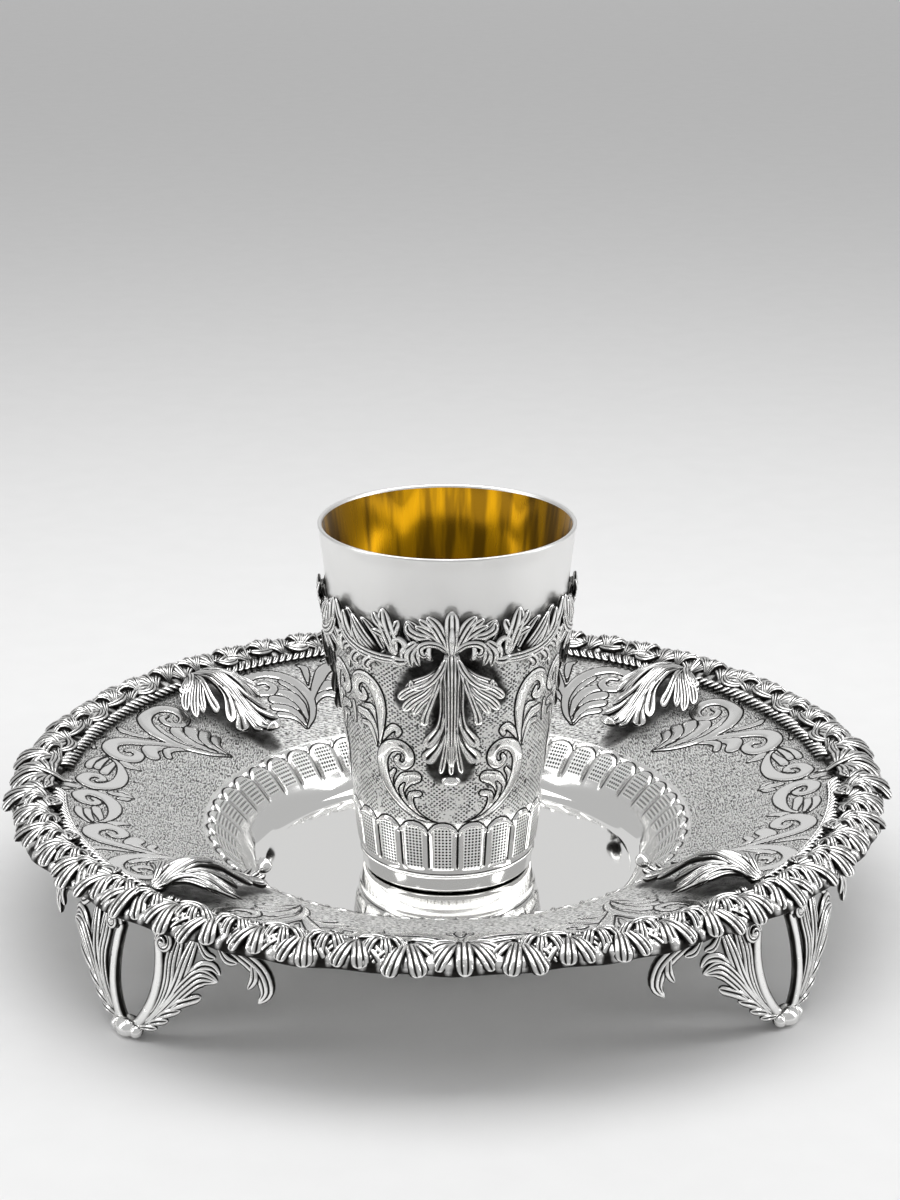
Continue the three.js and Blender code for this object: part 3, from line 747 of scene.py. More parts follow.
def frond(path, widths, grooves=1, crown=0.45, thick=0.7, depth=0.32, tip=0.28, root=0.06,
          rim=0.0, dark=0.0, stations=13):
    """One lobe of a casting: a strip carried along a smooth path (across, along, height) with a
    rounded tip. Its face rises by crown times 1 - u^2, dips in a bell at each groove, and may
    have a raised rim."""
    share = np.linspace(0, 1, stations) ** 0.92
    share = np.unique(np.concatenate([[0.03], share, 1 - tip * np.array([0.3, 0.13, 0.04])]))
    line = curve_at(path, share)
    along = np.gradient(line, axis=0)
    along /= np.linalg.norm(along, axis=1, keepdims=True) + 1e-9
    side = np.stack([-along[:, 1], along[:, 0], 0 * along[:, 0]], axis=1)
    side /= np.linalg.norm(side, axis=1, keepdims=True) + 1e-9
    above = np.cross(along, side)
    closing = np.sqrt(np.clip(1 - np.clip((share - 1 + tip) / tip, 0, 1) ** 2, 0.01, 1))
    closing *= np.sqrt(np.clip(1 - np.clip((root - share) / root, 0, 1) ** 2, 0.02, 1))
    half = np.interp(share, np.linspace(0, 1, len(widths)), widths) * closing
    middles = 2 * np.arange(1, grooves + 1) / (grooves + 1) - 1
    near = 0.56 / (grooves + 1)
    ribs = 2 * (np.arange(grooves + 1) + 0.5) / (grooves + 1) - 1
    u = np.unique(np.round(np.concatenate([[-1, -0.86, 0.86, 1], ribs, middles, middles - near,
                                           middles + near]), 4))[::-1]
    bell = np.zeros(len(u))
    for middle in middles:
        bell = np.maximum(bell, np.exp(-((u - middle) / near / 0.8) ** 2))
    grooved = np.minimum(smooth_step(0, 0.12, share), smooth_step(1.0, 0.86, share))[:, None]
    face = crown * (1 - u**2) + rim * np.exp(-((np.abs(u) - 0.8) / 0.17) ** 2)
    face = (face[None, :] - depth * bell[None, :] * grooved) * closing[:, None]
    low = np.array([-0.82, 0.82])
    across = np.concatenate([u, low])
    rise = np.hstack([face, np.tile(-thick * (0.35 + 0.65 * closing[:, None]), (1, 2))])
    rings = (line[:, None] + side[:, None] * (half[:, None] * across[None, :])[..., None]
             + above[:, None] * rise[..., None])
    # Oxide in the grooves of the lobe.
    oxide_and_shade = np.clip(1.5 * bell[None, :] * grooved, 0, 1)
    # Painted shade along the lobe's edges, where they lie under their neighbours.
    oxide_and_shade = np.maximum(oxide_and_shade, 0.95 * smooth_step(0.72, 0.96, np.abs(u))[None, :])
    # Oxide and painted shade at the lobe's root, as strong as the dark option.
    oxide_and_shade = np.maximum(oxide_and_shade, dark * (1 - smooth_step(0, 0.45, share))[:, None])
    # Painted shade on the two points under the lobe.
    oxide_and_shade = np.hstack([oxide_and_shade, np.full((len(share), 2), 0.45)])
    skin = closed_skin(rings, line[0] - 0.1 * half[0] * along[0],
                       line[-1] + 0.1 * half[-1] * along[-1])
    # The two end poles get a middling painted shade.
    return *skin, np.append(oxide_and_shade.ravel(), [0.6, 0.6])


def bead_at(centre, radii, columns=14, rows=7):
    """A smooth bead: an ellipsoid about a centre, its rings turned about the height axis."""
    lift = np.linspace(-1, 1, rows + 2)[1:-1] * math.pi / 2
    turn = np.arange(columns) / columns * 2 * math.pi
    rings = around(np.cos(lift)[:, None], turn, np.sin(lift)[:, None])
    points, quads, triangles = closed_skin(rings, (0, 0, -1), (0, 0, 1))
    # Painted shade: the bead darkens towards its underside.
    oxide_and_shade = smooth_step(0.2, -0.5, np.append(np.repeat(np.sin(lift), columns), [-1, 1]))
    return points * radii + centre, quads, triangles, oxide_and_shade


def other_side(path):
    """The same path on the other side of the leaf's middle line."""
    return [(-across, along, height) for across, along, height in path]


def cast(lobes, sides=(list,)):
    """Builds lobes, each given as a path, its half widths and, where it has any, its options."""
    return [frond(side(path), widths, **dict(*options)) for path, widths, *options in lobes
            for side in sides]


def both_sides(lobes):
    """Builds each lobe on both sides of the middle line."""
    return cast(lobes, (list, other_side))


def set_on(place, parts):
    """Sets lobes on a surface."""
    return [(place(*points.T), *rest) for points, *rest in parts]


def gather(name, parts):
    """Joins lobes into one piece, with their oxide and painted shade kept on its points."""
    points, quads, triangles, oxide_and_shade, first = [], [], [], [], 0
    for part_points, part_quads, part_triangles, part_oxide_and_shade in parts:
        points.append(part_points)
        quads.append(part_quads + first)
        triangles.append(part_triangles + first)
        oxide_and_shade.append(part_oxide_and_shade)
        first += len(part_points)
    piece = new_piece(name, np.vstack(points), np.vstack(quads), np.vstack(triangles))
    store(piece, "oxide_and_shade", np.concatenate(oxide_and_shade))
    return piece


def on_cup(turn, arc_radius=0):
    """A function that wraps (across, height, stand-off) round the cup's wall at an angle. Across
    is measured at the lobe's own radius, or at a radius that is given."""
    def place(across, height, off):
        radius = cup_radius(height) + off
        angle = math.radians(turn) + across / (arc_radius or radius)
        return around(radius, angle, height + CUP_SEAT)
    return place


def down(across, below, off):
    """A point of a leaf, measured down from its top."""
    return across, LEAF_TOP - below, off


def fan_lobe(start, tip, width, off=2.9, tip_off=2.6, grooves=2):
    """A lobe of a fan: leaves the spine, bends outwards and widens to its tip."""
    bend = (start[0] * 0.6 + tip[0] * 0.4 - 0.2, start[1] * 0.45 + tip[1] * 0.55 - 0.9)
    bend_low = (start[0] * 0.25 + tip[0] * 0.75, start[1] * 0.2 + tip[1] * 0.8 - 0.7)
    return ([down(*start, off), down(*bend, off + 0.6), down(*bend_low, off + 0.3),
             down(*tip, tip_off)], [0.5, width * 0.75, width, width],
            {"grooves": grooves, "tip": 0.2, "crown": 0.35, "depth": 0.5, "dark": 0.9})


LEAF_SPINE = [
    ([down(0, -0.6, 0.6), down(0, 1.2, 2.4), down(0, 4, 3.5), down(0, 10, 4.0),
      down(0, 17, 3.6), down(0, 23, 3.0), down(0, 28.0, 2.2)],
     [1.7, 2.2, 2.1, 1.9, 1.8, 1.7, 1.4, 0.9],
     {"grooves": 4, "crown": 0.4, "depth": 0.6, "thick": 0.9, "tip": 0.1, "stations": 30}),
]
LEAF_LOBES = [
    fan_lobe((1.9, 2.0), (10.4, 8.6), 1.15),
    fan_lobe((2.0, 2.6), (12.3, 11.2), 1.3, off=3.0),
    fan_lobe((2.0, 3.3), (11.2, 14.0), 1.3, off=3.1),
    fan_lobe((2.1, 3.9), (8.8, 14.6), 1.15, off=3.0),
    ([down(1.3, 0.6, 2.2), down(2.5, 3.0, 3.6), down(4.4, 5.6, 3.9), down(6.9, 7.6, 3.5),
      down(9.0, 7.6, 3.3), down(9.3, 5.9, 3.5)], [0.6, 0.9, 0.8, 0.7, 0.8, 0.7],
     {"tip": 0.12, "stations": 18}),
    ([down(1.9, 2.6, 3.2), down(3.3, 7, 3.6), down(4.9, 11.6, 3.5), down(5.9, 14.6, 3.1),
      down(6.2, 17.4, 2.5)], [0.5, 0.7, 0.75, 1.0, 1.5],
     {"tip": 0.14, "rim": 0.3, "depth": 0.5}),
    ([down(1.2, 0.1, 1.8), down(2.0, 3.2, 3.4), down(2.15, 8, 3.7), down(2.05, 13, 3.6),
      down(2.6, 17, 3.5), down(4.2, 19.8, 3.5), down(6.1, 22.3, 3.4)],
     [0.6, 0.7, 0.7, 0.75, 1.0, 1.5, 1.8],
     {"rim": 0.4, "crown": 0.2, "depth": 0.6, "tip": 0.12, "stations": 22}),
    ([down(1.5, 13, 3.5), down(1.9, 18, 3.3), down(3.0, 22.2, 3.1), down(4.7, 24.6, 3.0),
      down(6.1, 26.4, 3.0)], [0.5, 0.8, 1.1, 1.9, 2.2],
     {"rim": 0.4, "crown": 0.1, "depth": 0.6, "tip": 0.18, "stations": 18}),
    ([down(1.0, 17, 3.3), down(1.3, 22, 3.0), down(1.8, 26, 2.4), down(2.4, 29.8, 1.8)],
     [0.6, 0.7, 0.75, 0.8], {"tip": 0.15}),
]
LEAF_TOES = [([down(0, 22, 2.9), down(0, 26, 2.3), down(0, 30.2, 1.6)], [0.7, 0.8, 0.7],
              {"tip": 0.15})]


def cast_silver():
    """Cast silver: bright on the ribs, black oxide in the grooves, painted shade on edges, roots and
    undersides, faint pits from the mould.
    """
    material, tree, shader = new_material("cast_silver")
    pits = fade(tree, grain(tree, 900, 3), 0.6, 0.75)
    # The stored value is oxide in the grooves and painted shade where the casting lies under itself
    # or its neighbours.
    recess = most(tree, stored_number(tree, "oxide_and_shade"), times(tree, pits, 0.25))
    color, wear = place_group(tree, tarnish_and_shade, Recess=recess, Brightness=0.9)
    tree.links.new(color, shader.inputs["Base Color"])
    uneven = calc(tree, "MULTIPLY_ADD", grain(tree, 400, 3), 0.12, 0.1)
    tree.links.new(calc(tree, "MULTIPLY_ADD", wear, 0.25, uneven), shader.inputs["Roughness"])
    bump(tree, shader, calc(tree, "SUBTRACT", grain(tree, 700, 2), pits), 0.05)
    return material


def acanthus(bead):
    """One leaf: its spine, the oval bead under its tip, its toes, and its lobes on both sides."""
    return cast(LEAF_SPINE) + [bead_at(bead, (2.3, 1.4, 1.3))] + cast(LEAF_TOES) \
        + both_sides(LEAF_LOBES)


casting = cast_silver()
for number, turn in enumerate(cup_leaf_turns, 1):
    cup_leaf = gather(f"cup_leaf_casting_{number}",
                      set_on(on_cup(turn), acanthus((0, 30.3, 1.0))))
    cup_leaf.data.materials.append(casting)
    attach(cup_leaf, "root")
    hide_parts(f"cup_leaf_{number}")

# ---------------------------------------------------------------------------------------------
# The garland round the cup: open cast foliage in three equal lengths, soldered over the top of
# the engraving. A palmette sits over each leaf, with fronds that run to meet between them.
# ---------------------------------------------------------------------------------------------
GARLAND_RADIUS = 27
FULLNESS = 1.28
GARLAND_MIDDLE = [
    ([(0, 61.8, 1.6), (0, 65, 1.9), (0, 69, 2.0), (0, 73.0, 1.7)], [0.8, 1.3, 1.7, 1.5],
     {"grooves": 2, "tip": 0.2}),
    ([(0, 62.4, 2.2), (0, 66, 2.5), (0, 69.6, 2.3)], [0.5, 0.75, 0.4], {"grooves": 0}),
]
GARLAND_LOBES = [
    ([(0.5, 62.6, 1.5), (1.9, 66.4, 1.8), (3.4, 69.4, 1.7), (5.0, 71.4, 1.3)],
     [0.6, 1.1, 1.3, 1.0], {"grooves": 2}),
    ([(0.7, 62.6, 1.3), (3.2, 66, 1.6), (5.4, 67.8, 1.6), (7.6, 68.9, 1.5)],
     [0.6, 1.0, 1.2, 0.9], {"grooves": 2}),
    ([(2.6, 68.0, 1.2), (4.6, 69.2, 1.5), (6.8, 70.6, 1.2)], [0.6, 0.9, 0.7]),
    ([(4.2, 66.4, 1.4), (6.8, 66.7, 1.8), (8.8, 67.8, 1.7), (9.2, 69.4, 1.3)],
     [0.5, 0.9, 0.9, 0.6]),
    ([(0.5, 62.7, 1.4), (2.6, 64.6, 1.9), (4.8, 65, 2.0), (6.5, 64.0, 1.9), (6.5, 62.4, 1.7),
      (5.5, 62.0, 1.7), (5.1, 63, 1.8)], [0.55, 0.7, 0.7, 0.65, 0.5],
     {"depth": 0.15, "stations": 22}),
    ([(6.3, 64.6, 1.4), (7.6, 62.4, 1.9), (6.9, 59.2, 1.5)], [0.5, 0.9, 0.6]),
    ([(6.9, 64.9, 1.5), (8.7, 62.2, 2.0), (8.6, 58.8, 1.5)], [0.5, 0.9, 0.6]),
    ([(7.4, 65.3, 1.6), (9.9, 62.8, 2.0), (10.2, 59.4, 1.5)], [0.5, 0.9, 0.6]),
    ([(4.7, 64.6, 1.2), (4.9, 62.0, 1.5), (4.0, 60.6, 1.2)], [0.4, 0.6, 0.4], {"grooves": 0}),
    ([(11.3 + 1.5 * math.cos(a), 63.7 + 1.9 * math.sin(a), 1.8)
      for a in np.linspace(-1.4, 4.7, 12)], [0.62, 0.7, 0.62],
     {"grooves": 0, "crown": 0.55, "stations": 22}),
    ([(9.4, 60.4, 1.6), (11.3, 60.1, 1.9), (13.4, 60.6, 1.6)], [0.7, 1.0, 0.8]),
    ([(12.4, 61.2, 1.5), (12.9, 65, 2.0), (14.0, 68.6, 2.0), (14.6, 72.4, 1.5)],
     [0.8, 1.4, 1.6, 1.3], {"grooves": 2}),
    ([(13.0, 63.6, 1.6), (12.2, 67.2, 1.9), (11.2, 70.0, 1.5)], [0.5, 0.9, 0.8]),
    ([(13.4, 64.6, 1.5), (15.4, 66.4, 1.9), (17.6, 66.8, 1.8)], [0.5, 0.8, 0.6]),
    ([(13.8, 67, 1.8), (15.8, 69.2, 2.0), (17.0, 71.2, 1.5)], [0.5, 0.9, 0.7]),
    ([(16.4, 60.8, 1.3), (19.0, 63.2, 1.8), (21.4, 66, 1.8), (23.4, 69.2, 1.3)],
     [0.9, 1.6, 1.7, 0.9], {"grooves": 3, "dark": 1.0}),
    ([(11, 60.2, 1.5), (16.5, 60.3, 1.9), (21.5, 61.2, 2.0), (25.6, 63.8, 2.0),
      (28.2, 69.0, 1.7)], [0.8, 1.0, 1.1, 1.1, 0.7], {"grooves": 2, "stations": 22}),
    ([(16.0, 60.2, 1.4), (18.4, 59.4, 1.9), (20.0, 57.6, 1.8), (19.0, 56.6, 1.4)],
     [0.5, 0.9, 1.0, 0.7]),
    ([(19.6, 60.8, 1.4), (22.2, 60.0, 1.9), (23.8, 58.0, 1.8), (22.8, 57.0, 1.4)],
     [0.5, 0.9, 1.0, 0.7]),
    ([(22.8, 61.8, 1.4), (25.4, 61.2, 1.9), (27.2, 59.4, 1.6)], [0.5, 0.9, 0.8]),
    ([(20.6, 61.4, 1.5), (22.0, 64.0, 1.9), (23.0, 66.6, 1.7)], [0.5, 0.9, 0.6]),
    ([(22.8, 62.2, 1.5), (24.6, 65.4, 2.0), (25.6, 69.6, 1.8)], [0.6, 1.1, 0.8]),
    ([(24.6, 63.4, 1.5), (26.6, 67.0, 2.0), (27.8, 71.6, 1.8)], [0.6, 1.1, 0.8]),
    ([(25.8, 64.2, 1.5), (27.8, 62.6, 1.9), (28.2, 58.4, 1.4)], [0.6, 1.0, 0.6]),
    ([(5.6, 63.6, 0.5), (7.8, 66.4, 0.8), (9.4, 70.0, 0.9)], [1.2, 2.1, 1.3], {"grooves": 3}),
    ([(11.8, 61.6, 0.5), (13.6, 65.6, 0.8), (15.6, 69.8, 0.9)], [1.3, 2.4, 1.5], {"grooves": 3}),
    ([(16.0, 61.0, 0.5), (18.6, 64.6, 0.9), (21.0, 68.8, 1.0)], [1.3, 2.5, 1.5], {"grooves": 4}),
    ([(20.6, 61.8, 0.5), (23.6, 65.6, 0.9), (25.4, 70.2, 1.0)], [1.2, 2.1, 1.4], {"grooves": 3}),
]
full_lobes = [(path, np.multiply(widths, FULLNESS), *options)
              for path, widths, *options in GARLAND_LOBES]
garland_length = cast(GARLAND_MIDDLE) + both_sides(full_lobes)
garland = gather("garland_casting", [part for turn in cup_leaf_turns for part
                                     in set_on(on_cup(turn, GARLAND_RADIUS), garland_length)])
garland.data.materials.append(casting)
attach(garland, "root")
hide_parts("cup_garland")


# ---------------------------------------------------------------------------------------------
# The tray's border: cast foliage in eight mirrored lengths, soldered over the edge of the flange.
# Palmettes stand at the middle of each side and over each leg, with rolled blades between them.
# ---------------------------------------------------------------------------------------------
BORDER_RADIUS = 97
RING_INSIDE = 97.5
HALF_SIDE = BORDER_RADIUS * math.pi / 4


def on_tray(turn):
    """A function that lays (arc, distance from the axis, lift) on the flange: the angle falls as
    the arc over BORDER_RADIUS, and past the flange's edge the height falls off."""
    def place(arc, radius, off):
        angle = turn - arc / BORDER_RADIUS
        beyond = np.maximum(radius - flange_edge, 0)
        height = dish_height(np.minimum(radius, flange_edge)) - 0.12 * beyond**1.3 + off
        return around(radius, angle, height)
    return place


def palmette(middle, root, reach, lean, aside=(-2, -1, 0, 1, 2), width=1.6, spread=25, rise=2.1):
    """Rounded lobes spread from one root. The outer ones are shorter and curl away; all rise,
    roll over the edge and end broad."""
    lobes = []
    for step in aside:
        angle = math.radians(lean + spread * step)
        stretch = reach * (1 - 0.075 * step * step + 0.07 * math.sin(3 * middle + 2 * step))
        path = [(middle + share * stretch * math.sin(angle) + 1.1 * step * share**2,
                 root + share * stretch * math.cos(angle), height)
                for share, height in ((0.03, 0.9), (0.35, rise), (0.72, rise + 0.2),
                                      (0.93, 1.3), (1.0, 0.2))]
        lobes.append((path, [0.5, width * 0.75, width * 1.1, width * 1.25, width * 1.1],
                      {"grooves": 2, "crown": 0.7, "thick": 1.1, "tip": 0.2, "depth": 0.42,
                       "dark": 0.6, "stations": 10}))
    return lobes


def hooks(first, last, count, root, tip, width=0.75):
    """A comb of short lobes that hook over towards the dish."""
    return [([(arc, root, 1.2), (arc + 0.4, (root + tip) / 2, 1.9), (arc + 1.7, tip, 1.3),
              (arc + 2.6, tip + 0.8, 0.8)], [0.6, width, width, 0.5],
             {"thick": 0.9, "stations": 8}) for arc in np.linspace(first, last, count)]


def stem(first, last, inner, outer, width=1.2):
    """A fluted stem that runs along the border from one palmette into the root of the next."""
    step = (last - first) / 3
    return [([(first, outer, 1.6), (first + step, inner + 0.3, 2.2), (last - step, inner, 2.6),
              (last, outer - 0.6, 2.8)], [0.5, width, width * 1.1, 0.7],
             {"grooves": 2, "crown": 0.7, "thick": 1.1, "stations": 12})]


SIDE_MIDDLE = [
    ([(0, 93.0, 1.0), (0, 97, 2.6), (0, 100, 2.6), (0, 102.4, 1.4), (0, 103.6, 0.0)],
     [0.8, 1.5, 1.9, 1.9, 1.5], {"grooves": 2, "crown": 0.7, "thick": 1.1, "tip": 0.16}),
    ([(0, 90.6, 0.9), (0, 93.6, 2.4), (0, 97, 3.0)], [1.0, 1.3, 0.7]),
]
SIDE_LOBES = palmette(0.6, 93.2, 11.2, 0, (1, 2, 3), spread=23)
for middle, lean, reach in ((11.4, 16, 11.2), (22.4, -14, 9.9), (33.0, 20, 11.0),
                            (43.6, -10, 9.7), (54.6, 18, 11.0), (65.6, -12, 9.9)):
    SIDE_LOBES += palmette(middle, 93.4, reach, lean)
    SIDE_LOBES += palmette(middle + 5.4, 93.8, 6.6, -0.8 * lean, (-1, 0, 1), 1.15, 32, 3.1)
    SIDE_LOBES += stem(middle - 8.4, middle - 0.4, 93.0 + 0.05 * lean, 95.2)
    SIDE_LOBES += hooks(middle - 3.4, middle + 5.2, 5, 92.8 + 0.03 * lean, 90.2)
CORNER_MIDDLE = [
    ([(HALF_SIDE, 93.0, 1.2), (HALF_SIDE, 97, 2.8), (HALF_SIDE, 100, 2.7),
      (HALF_SIDE, 102.8, 1.4), (HALF_SIDE, 104.0, 0.0)], [0.9, 1.6, 1.9, 1.9, 1.5],
     {"grooves": 2, "crown": 0.7, "thick": 1.1, "tip": 0.16}),
]
SIDE_LOBES += palmette(HALF_SIDE - 0.5, 93.4, 11.0, 0, (-1, -2))

# Under the lobes runs the ring that carries them. It clips over the flange, and its face is cast in
# fine ribs with oxide between them;
# where no ribs show, on its inner edge and underside, it is painted near black as shade. Each row of
# the profile is a radius, a height above the dish, and how strongly the ribs show there.
RING_COLUMNS = 960
ring_turns = np.arange(RING_COLUMNS) / RING_COLUMNS * 2 * math.pi
ring_wave = 0.4 * np.cos(16 * ring_turns) + 0.35 * np.cos(40 * ring_turns + 1)
ring_ribs = 0.5 + 0.5 * np.cos(160 * ring_turns + 1.5 * np.sin(24 * ring_turns))
ring_profile = [(RING_INSIDE, -1.9, 0), (RING_INSIDE, 0.4, 0), (91.6, 0.35, 0), (91.9, 1.0, 0.5),
                (95, 1.4, 0.7), (99, 1.2, 0.8), (102.0, 0.1, 0.8), (102.6, -1.4, 0.4),
                (101.4, -2.2, 0)]
ring_sections = []
ring_oxide_and_shade_rows = []
for radius, off, ribbed in ring_profile:
    free = radius != RING_INSIDE
    radii = radius + free * (ring_wave + 0.6 * ribbed * (ring_ribs - 0.5))
    heights = dish_height(np.minimum(radii, flange_edge)) + off + 0.55 * ribbed * ring_ribs
    ring_sections.append(around(radii, ring_turns, heights))
    # Oxide between the ribs; painted shade, near black, where the ring shows no ribs.
    ring_oxide_and_shade_rows.append(0.95 - 0.95 * ribbed * ring_ribs)
ring_rows = np.stack(ring_sections[::-1] + [ring_sections[-1]])
ring_oxide_and_shade = np.stack(ring_oxide_and_shade_rows[::-1] + [ring_oxide_and_shade_rows[-1]])
ring_part = (ring_rows.reshape(-1, 3), turned_faces(len(ring_rows), len(ring_turns)),
             np.empty((0, 3), int), ring_oxide_and_shade.ravel())
border_ring = gather("border_ring", [ring_part])
border_ring.data.materials.append(casting)
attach(border_ring, "root")
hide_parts("tray_border")
side_length = cast(SIDE_MIDDLE + CORNER_MIDDLE) + both_sides(SIDE_LOBES)
for quarter in range(4):
    length = gather(f"border_length_{quarter + 1}",
                    set_on(on_tray(quarter * math.pi / 2), side_length))
    length.data.materials.append(casting)
    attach(length, "root")
    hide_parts("tray_border")

# ---------------------------------------------------------------------------------------------
# The four leaves of the tray: the same acanthus casting as on the cup, bent into an arch. Each
# rises from the border over a leg, comes down on its fans and curls up at its beaded tip.
# ---------------------------------------------------------------------------------------------
TRAY_LEAF_ROOT = 91.5
CUP_STAND_OFF = [(-0.6, 0.6), (1.2, 2.4), (4, 3.3), (10, 3.7), (17, 3.4), (23, 2.9), (28.5, 2.0),
                 (32, 1.2)]
ARCH_SPINE = [(0, 2.6), (4, 5.6), (10, 8.2), (16, 7.4), (22, 4.6), (27, 3.2), (30, 4.6), (32, 6.4)]
ARCH_EDGE = [(0, 2.0), (6, 4.6), (12, 3.4), (17, 1.6), (24, 1.4), (28, 2.4), (32, 5.2)]


def on_arch(turn):
    """A function that bends the flat leaf over the flange: the stand-off it had on the cup is
    taken away and the arch's own height, less towards the edges, is added."""
    def place(across, along, off):
        below = LEAF_TOP - along
        own = off - np.interp(below, *np.transpose(CUP_STAND_OFF))
        radius = TRAY_LEAF_ROOT - below
        lean = np.clip(np.abs(across) / 10, 0, 1) ** 1.6
        arch = (np.interp(below, *np.transpose(ARCH_SPINE)) * (1 - lean)
                + np.interp(below, *np.transpose(ARCH_EDGE)) * lean)
        angle = turn - across / radius
        return around(radius, angle, dish_height(radius) + arch + own)
    return place


for number in range(1, 5):
    corner = math.radians(90 * number - 45)
    tray_leaf = gather(f"tray_leaf_casting_{number}",
                       set_on(on_arch(corner), acanthus((0, 30.6, 1.4))))
    tray_leaf.data.materials.append(casting)
    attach(tray_leaf, "root")
    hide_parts(f"tray_leaf_{number}")

# ---------------------------------------------------------------------------------------------
# The four bracket legs: openwork cast in silver and soldered under the rim. Two flat bars make a
# loop over a scroll foot, with volutes at the top and an acanthus wing on either side.
# ---------------------------------------------------------------------------------------------
LEG_TOP = 28
LEG_TOP_RADIUS = 94.6
LEG_FOOT_RADIUS = 100.9


def on_leg(turn):
    """A function that sets (across, height, out) on a leg's cone, which leans out to the foot."""
    def place(across, height, out):
        share = np.clip(height / LEG_TOP, 0, 1)
        radius = LEG_FOOT_RADIUS + (LEG_TOP_RADIUS - LEG_FOOT_RADIUS) * share + out
        return around(radius, turn + across / LEG_TOP_RADIUS, height)
    return place


def spiral_curl(middle, reach, start, turns, off, steps=16):
    """A curl that closes in on its middle: the radius falls evenly while the angle turns, and it
    climbs a little off the leg."""
    t = np.linspace(0, 1, steps)
    angle = math.radians(start) + turns * 2 * math.pi * t
    radius = reach * (1 - 0.86 * t)
    return list(zip(middle[0] + radius * np.cos(angle), middle[1] + radius * np.sin(angle),
                    off + 0.9 * t))


LEG_LOBES = [
    ([(0.4, 1.5, 0.4), (3.4, 4.4, 0.6), (5.9, 9.2, 0.7), (6.9, 14.5, 0.7), (6.6, 19.5, 0.8),
      (5.6, 23.5, 1.0)], [1.1, 1.25, 1.3, 1.3, 1.25, 1.1],
     {"grooves": 0, "crown": 0.25, "thick": 1.5, "tip": 0.04, "stations": 18}),
    ([(5.7, 22.8, 1.1)] + spiral_curl((8.0, 23.4), 2.3, 180, -1.6, 1.3), [0.7, 0.8, 0.75, 0.5],
     {"depth": 0.2, "crown": 0.4, "stations": 26, "thick": 1.4}),
    ([(5.9, 23.4, 0.9), (4.2, 25.9, 1.2), (2.0, 26.2, 1.2), (0.8, 24.8, 1.1)],
     [0.8, 1.0, 0.9, 0.7], {"thick": 1.2}),
    ([(3.4, 3.0, 0.0), (8.2, 8.6, 0.8), (10.6, 14.6, 1.2), (10.6, 20.5, 1.0), (11.4, 26.6, 0.2)],
     [0.6, 1.3, 2.0, 2.2, 2.2], {"grooves": 3, "thick": 1.1, "stations": 18}),
    ([(3.8, 3.0, 0.2), (9.2, 8.8, 1.0), (12.6, 14.6, 1.4), (14.2, 20.5, 1.2), (15.6, 26.6, 0.2)],
     [0.6, 1.2, 1.7, 1.8, 1.6], {"grooves": 2, "thick": 1.1, "stations": 18}),
    ([(4.4, 3.2, 0.3), (10.2, 9.4, 1.2), (15.0, 15.4, 1.8), (18.8, 18.8, 1.9),
      (22.6, 18.6, 1.3)], [0.6, 1.2, 1.8, 2.1, 1.4],
     {"grooves": 3, "thick": 1.1, "stations": 20}),
    ([(14.0, 15.2, 1.2), (17.6, 20.4, 1.7), (20.8, 21.4, 1.4), (22.8, 19.8, 0.9)],
     [0.6, 1.2, 1.2, 0.8]),
    ([(9.6, 8.4, 0.8), (13.6, 11.6, 1.5), (17.4, 13.6, 1.2), (18.8, 14.2, 0.8)],
     [0.6, 1.2, 1.1, 0.8]),
    ([(7.6, 6.6, 0.6), (11.0, 8.8, 1.3), (14.2, 10.2, 1.0)], [0.6, 1.1, 0.8]),
    ([(5.6, 4.6, 0.5), (8.6, 6.2, 1.1), (11.2, 7.0, 0.8)], [0.5, 1.0, 0.7]),
    ([(3.6, 3.2, 0.4), (6.0, 4.0, 0.9), (8.4, 4.4, 0.6)], [0.5, 0.8, 0.6]),
    ([(0.4, 26.6, 0.2), (9, 27.0, 0.6), (17, 26.7, 0.8), (25, 25.8, 0.8), (31.6, 22.6, 0.8),
      (33.6, 18.6, 0.6), (31.8, 15.4, 0.2)], [1.2, 1.5, 1.6, 1.6, 1.9, 1.9, 1.1],
     {"grooves": 2, "thick": 1.4, "stations": 24}),
    ([(30.0, 24.2, 0.7), (30.8, 21.0, 1.2), (29.4, 18.2, 0.7)], [0.6, 1.1, 0.7]),
    ([(16.4, 26.2, 0.9), (19.2, 23.6, 1.5), (21.4, 23.0, 1.0)], [0.7, 1.1, 0.8]),
    ([(21.6, 26.0, 0.9), (24.2, 23.8, 1.5), (26.6, 23.2, 1.0)], [0.7, 1.1, 0.8]),
]
LEG_BEADS = [((0, 2.2, 0.3), (3.0, 2.2, 2.6)), ((-2.9, 2.1, 0.6), (1.5, 1.5, 1.5)),
             ((2.9, 2.1, 0.6), (1.5, 1.5, 1.5)), ((-8.0, 23.4, 1.8), (0.9, 0.9, 1.0)),
             ((8.0, 23.4, 1.8), (0.9, 0.9, 1.0)), ((0, 26.4, 1.6), (1.5, 1.2, 1.2))]
bracket = [bead_at(*bead) for bead in LEG_BEADS] + both_sides(LEG_LOBES)
for number in range(1, 5):
    corner = math.radians(90 * number - 45)
    tray_leg = gather(f"leg_casting_{number}", set_on(on_leg(corner), bracket))
    tray_leg.data.materials.append(casting)
    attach(tray_leg, "root")
    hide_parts(f"tray_leg_{number}")


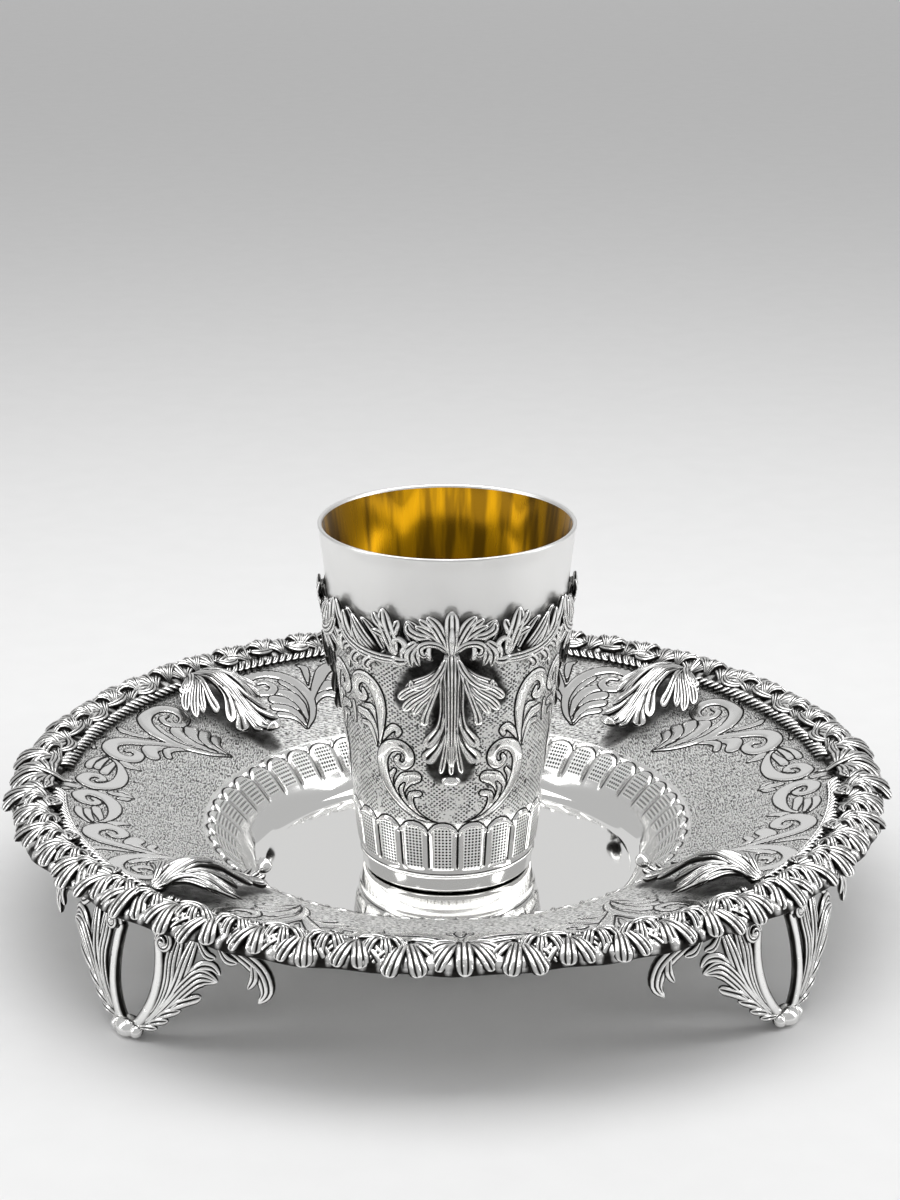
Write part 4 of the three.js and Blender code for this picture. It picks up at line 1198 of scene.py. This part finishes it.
# ---------------------------------------------------------------------------------------------
# The table that the set stands on: a sheet of pale card, lit by one broad soft light overhead, two
# tall ones at the sides and a faint wide one behind, with the room around a quiet grey.
# ---------------------------------------------------------------------------------------------
floor_mesh = bpy.data.meshes.new("table_card")
floor_mesh.from_pydata([(-4, -3, 0), (4, -3, 0), (4, 7, 0), (-4, 7, 0)], [], [(0, 1, 2, 3)])
table_card = bpy.data.objects.new("table_card", floor_mesh)
bpy.context.scene.collection.objects.link(table_card)
card = bpy.data.materials.new("pale_card")
card.use_nodes = True
card_tree = card.node_tree
card_shader = card_tree.nodes["Principled BSDF"]
fibre = grain(card_tree, 90, 4)
card_shade = card_tree.nodes.new("ShaderNodeMapRange")
card_tree.links.new(fibre, card_shade.inputs["Value"])
card_shade.inputs["To Min"].default_value = 0.78
card_shade.inputs["To Max"].default_value = 0.82
card_tree.links.new(card_shade.outputs["Result"], card_shader.inputs["Base Color"])
card_shader.inputs["Roughness"].default_value = 0.75
floor_mesh.materials.append(card)


def soft_light(name, place, aim, width, height, watts):
    """A rectangular soft light at a place in metres, turned to face another place."""
    lamp = bpy.data.lights.new(name, "AREA")
    lamp.shape = "RECTANGLE"
    lamp.size = width
    lamp.size_y = height
    lamp.energy = watts
    holder = bpy.data.objects.new(name, lamp)
    holder.location = place
    holder.rotation_euler = (Vector(aim) - Vector(place)).to_track_quat("-Z", "Y").to_euler()
    bpy.context.scene.collection.objects.link(holder)


soft_light("overhead", (0, 0.05, 0.60), (0, 0.05, 0), 0.64, 0.5, 2.4)
soft_light("left_side", (-0.62, -0.1, 0.34), (0, 0, 0.05), 0.16, 0.6, 1.0)
soft_light("right_side", (0.62, -0.05, 0.34), (0, 0, 0.05), 0.16, 0.6, 1.2)
soft_light("backdrop", (0, 2.8, 1.0), (0, 0, 0.6), 3.4, 2.0, 4.0)

room = bpy.data.worlds.new("room")
room.use_nodes = True
room.node_tree.nodes["Background"].inputs["Color"].default_value = (1, 1, 1, 1)
room.node_tree.nodes["Background"].inputs["Strength"].default_value = 0.5
bpy.context.scene.world = room
bpy.context.scene.view_settings.view_transform = "Standard"

camera_data = bpy.data.cameras.new("camera")
camera_data.lens = 80.0
camera_data.sensor_width = 36
camera_data.shift_x = 0.0023
camera_data.clip_start = 0.01
camera = bpy.data.objects.new("camera", camera_data)
camera_away, camera_high = 0.5873, 0.27365
camera_turn, camera_tilt = math.radians(2.0), 0.328
camera.location = (-camera_away * math.sin(camera_turn), -camera_away * math.cos(camera_turn),
                   camera_high)
camera.rotation_euler = (math.pi / 2 - camera_tilt, 0, -camera_turn)
bpy.context.scene.collection.objects.link(camera)
bpy.context.scene.camera = camera
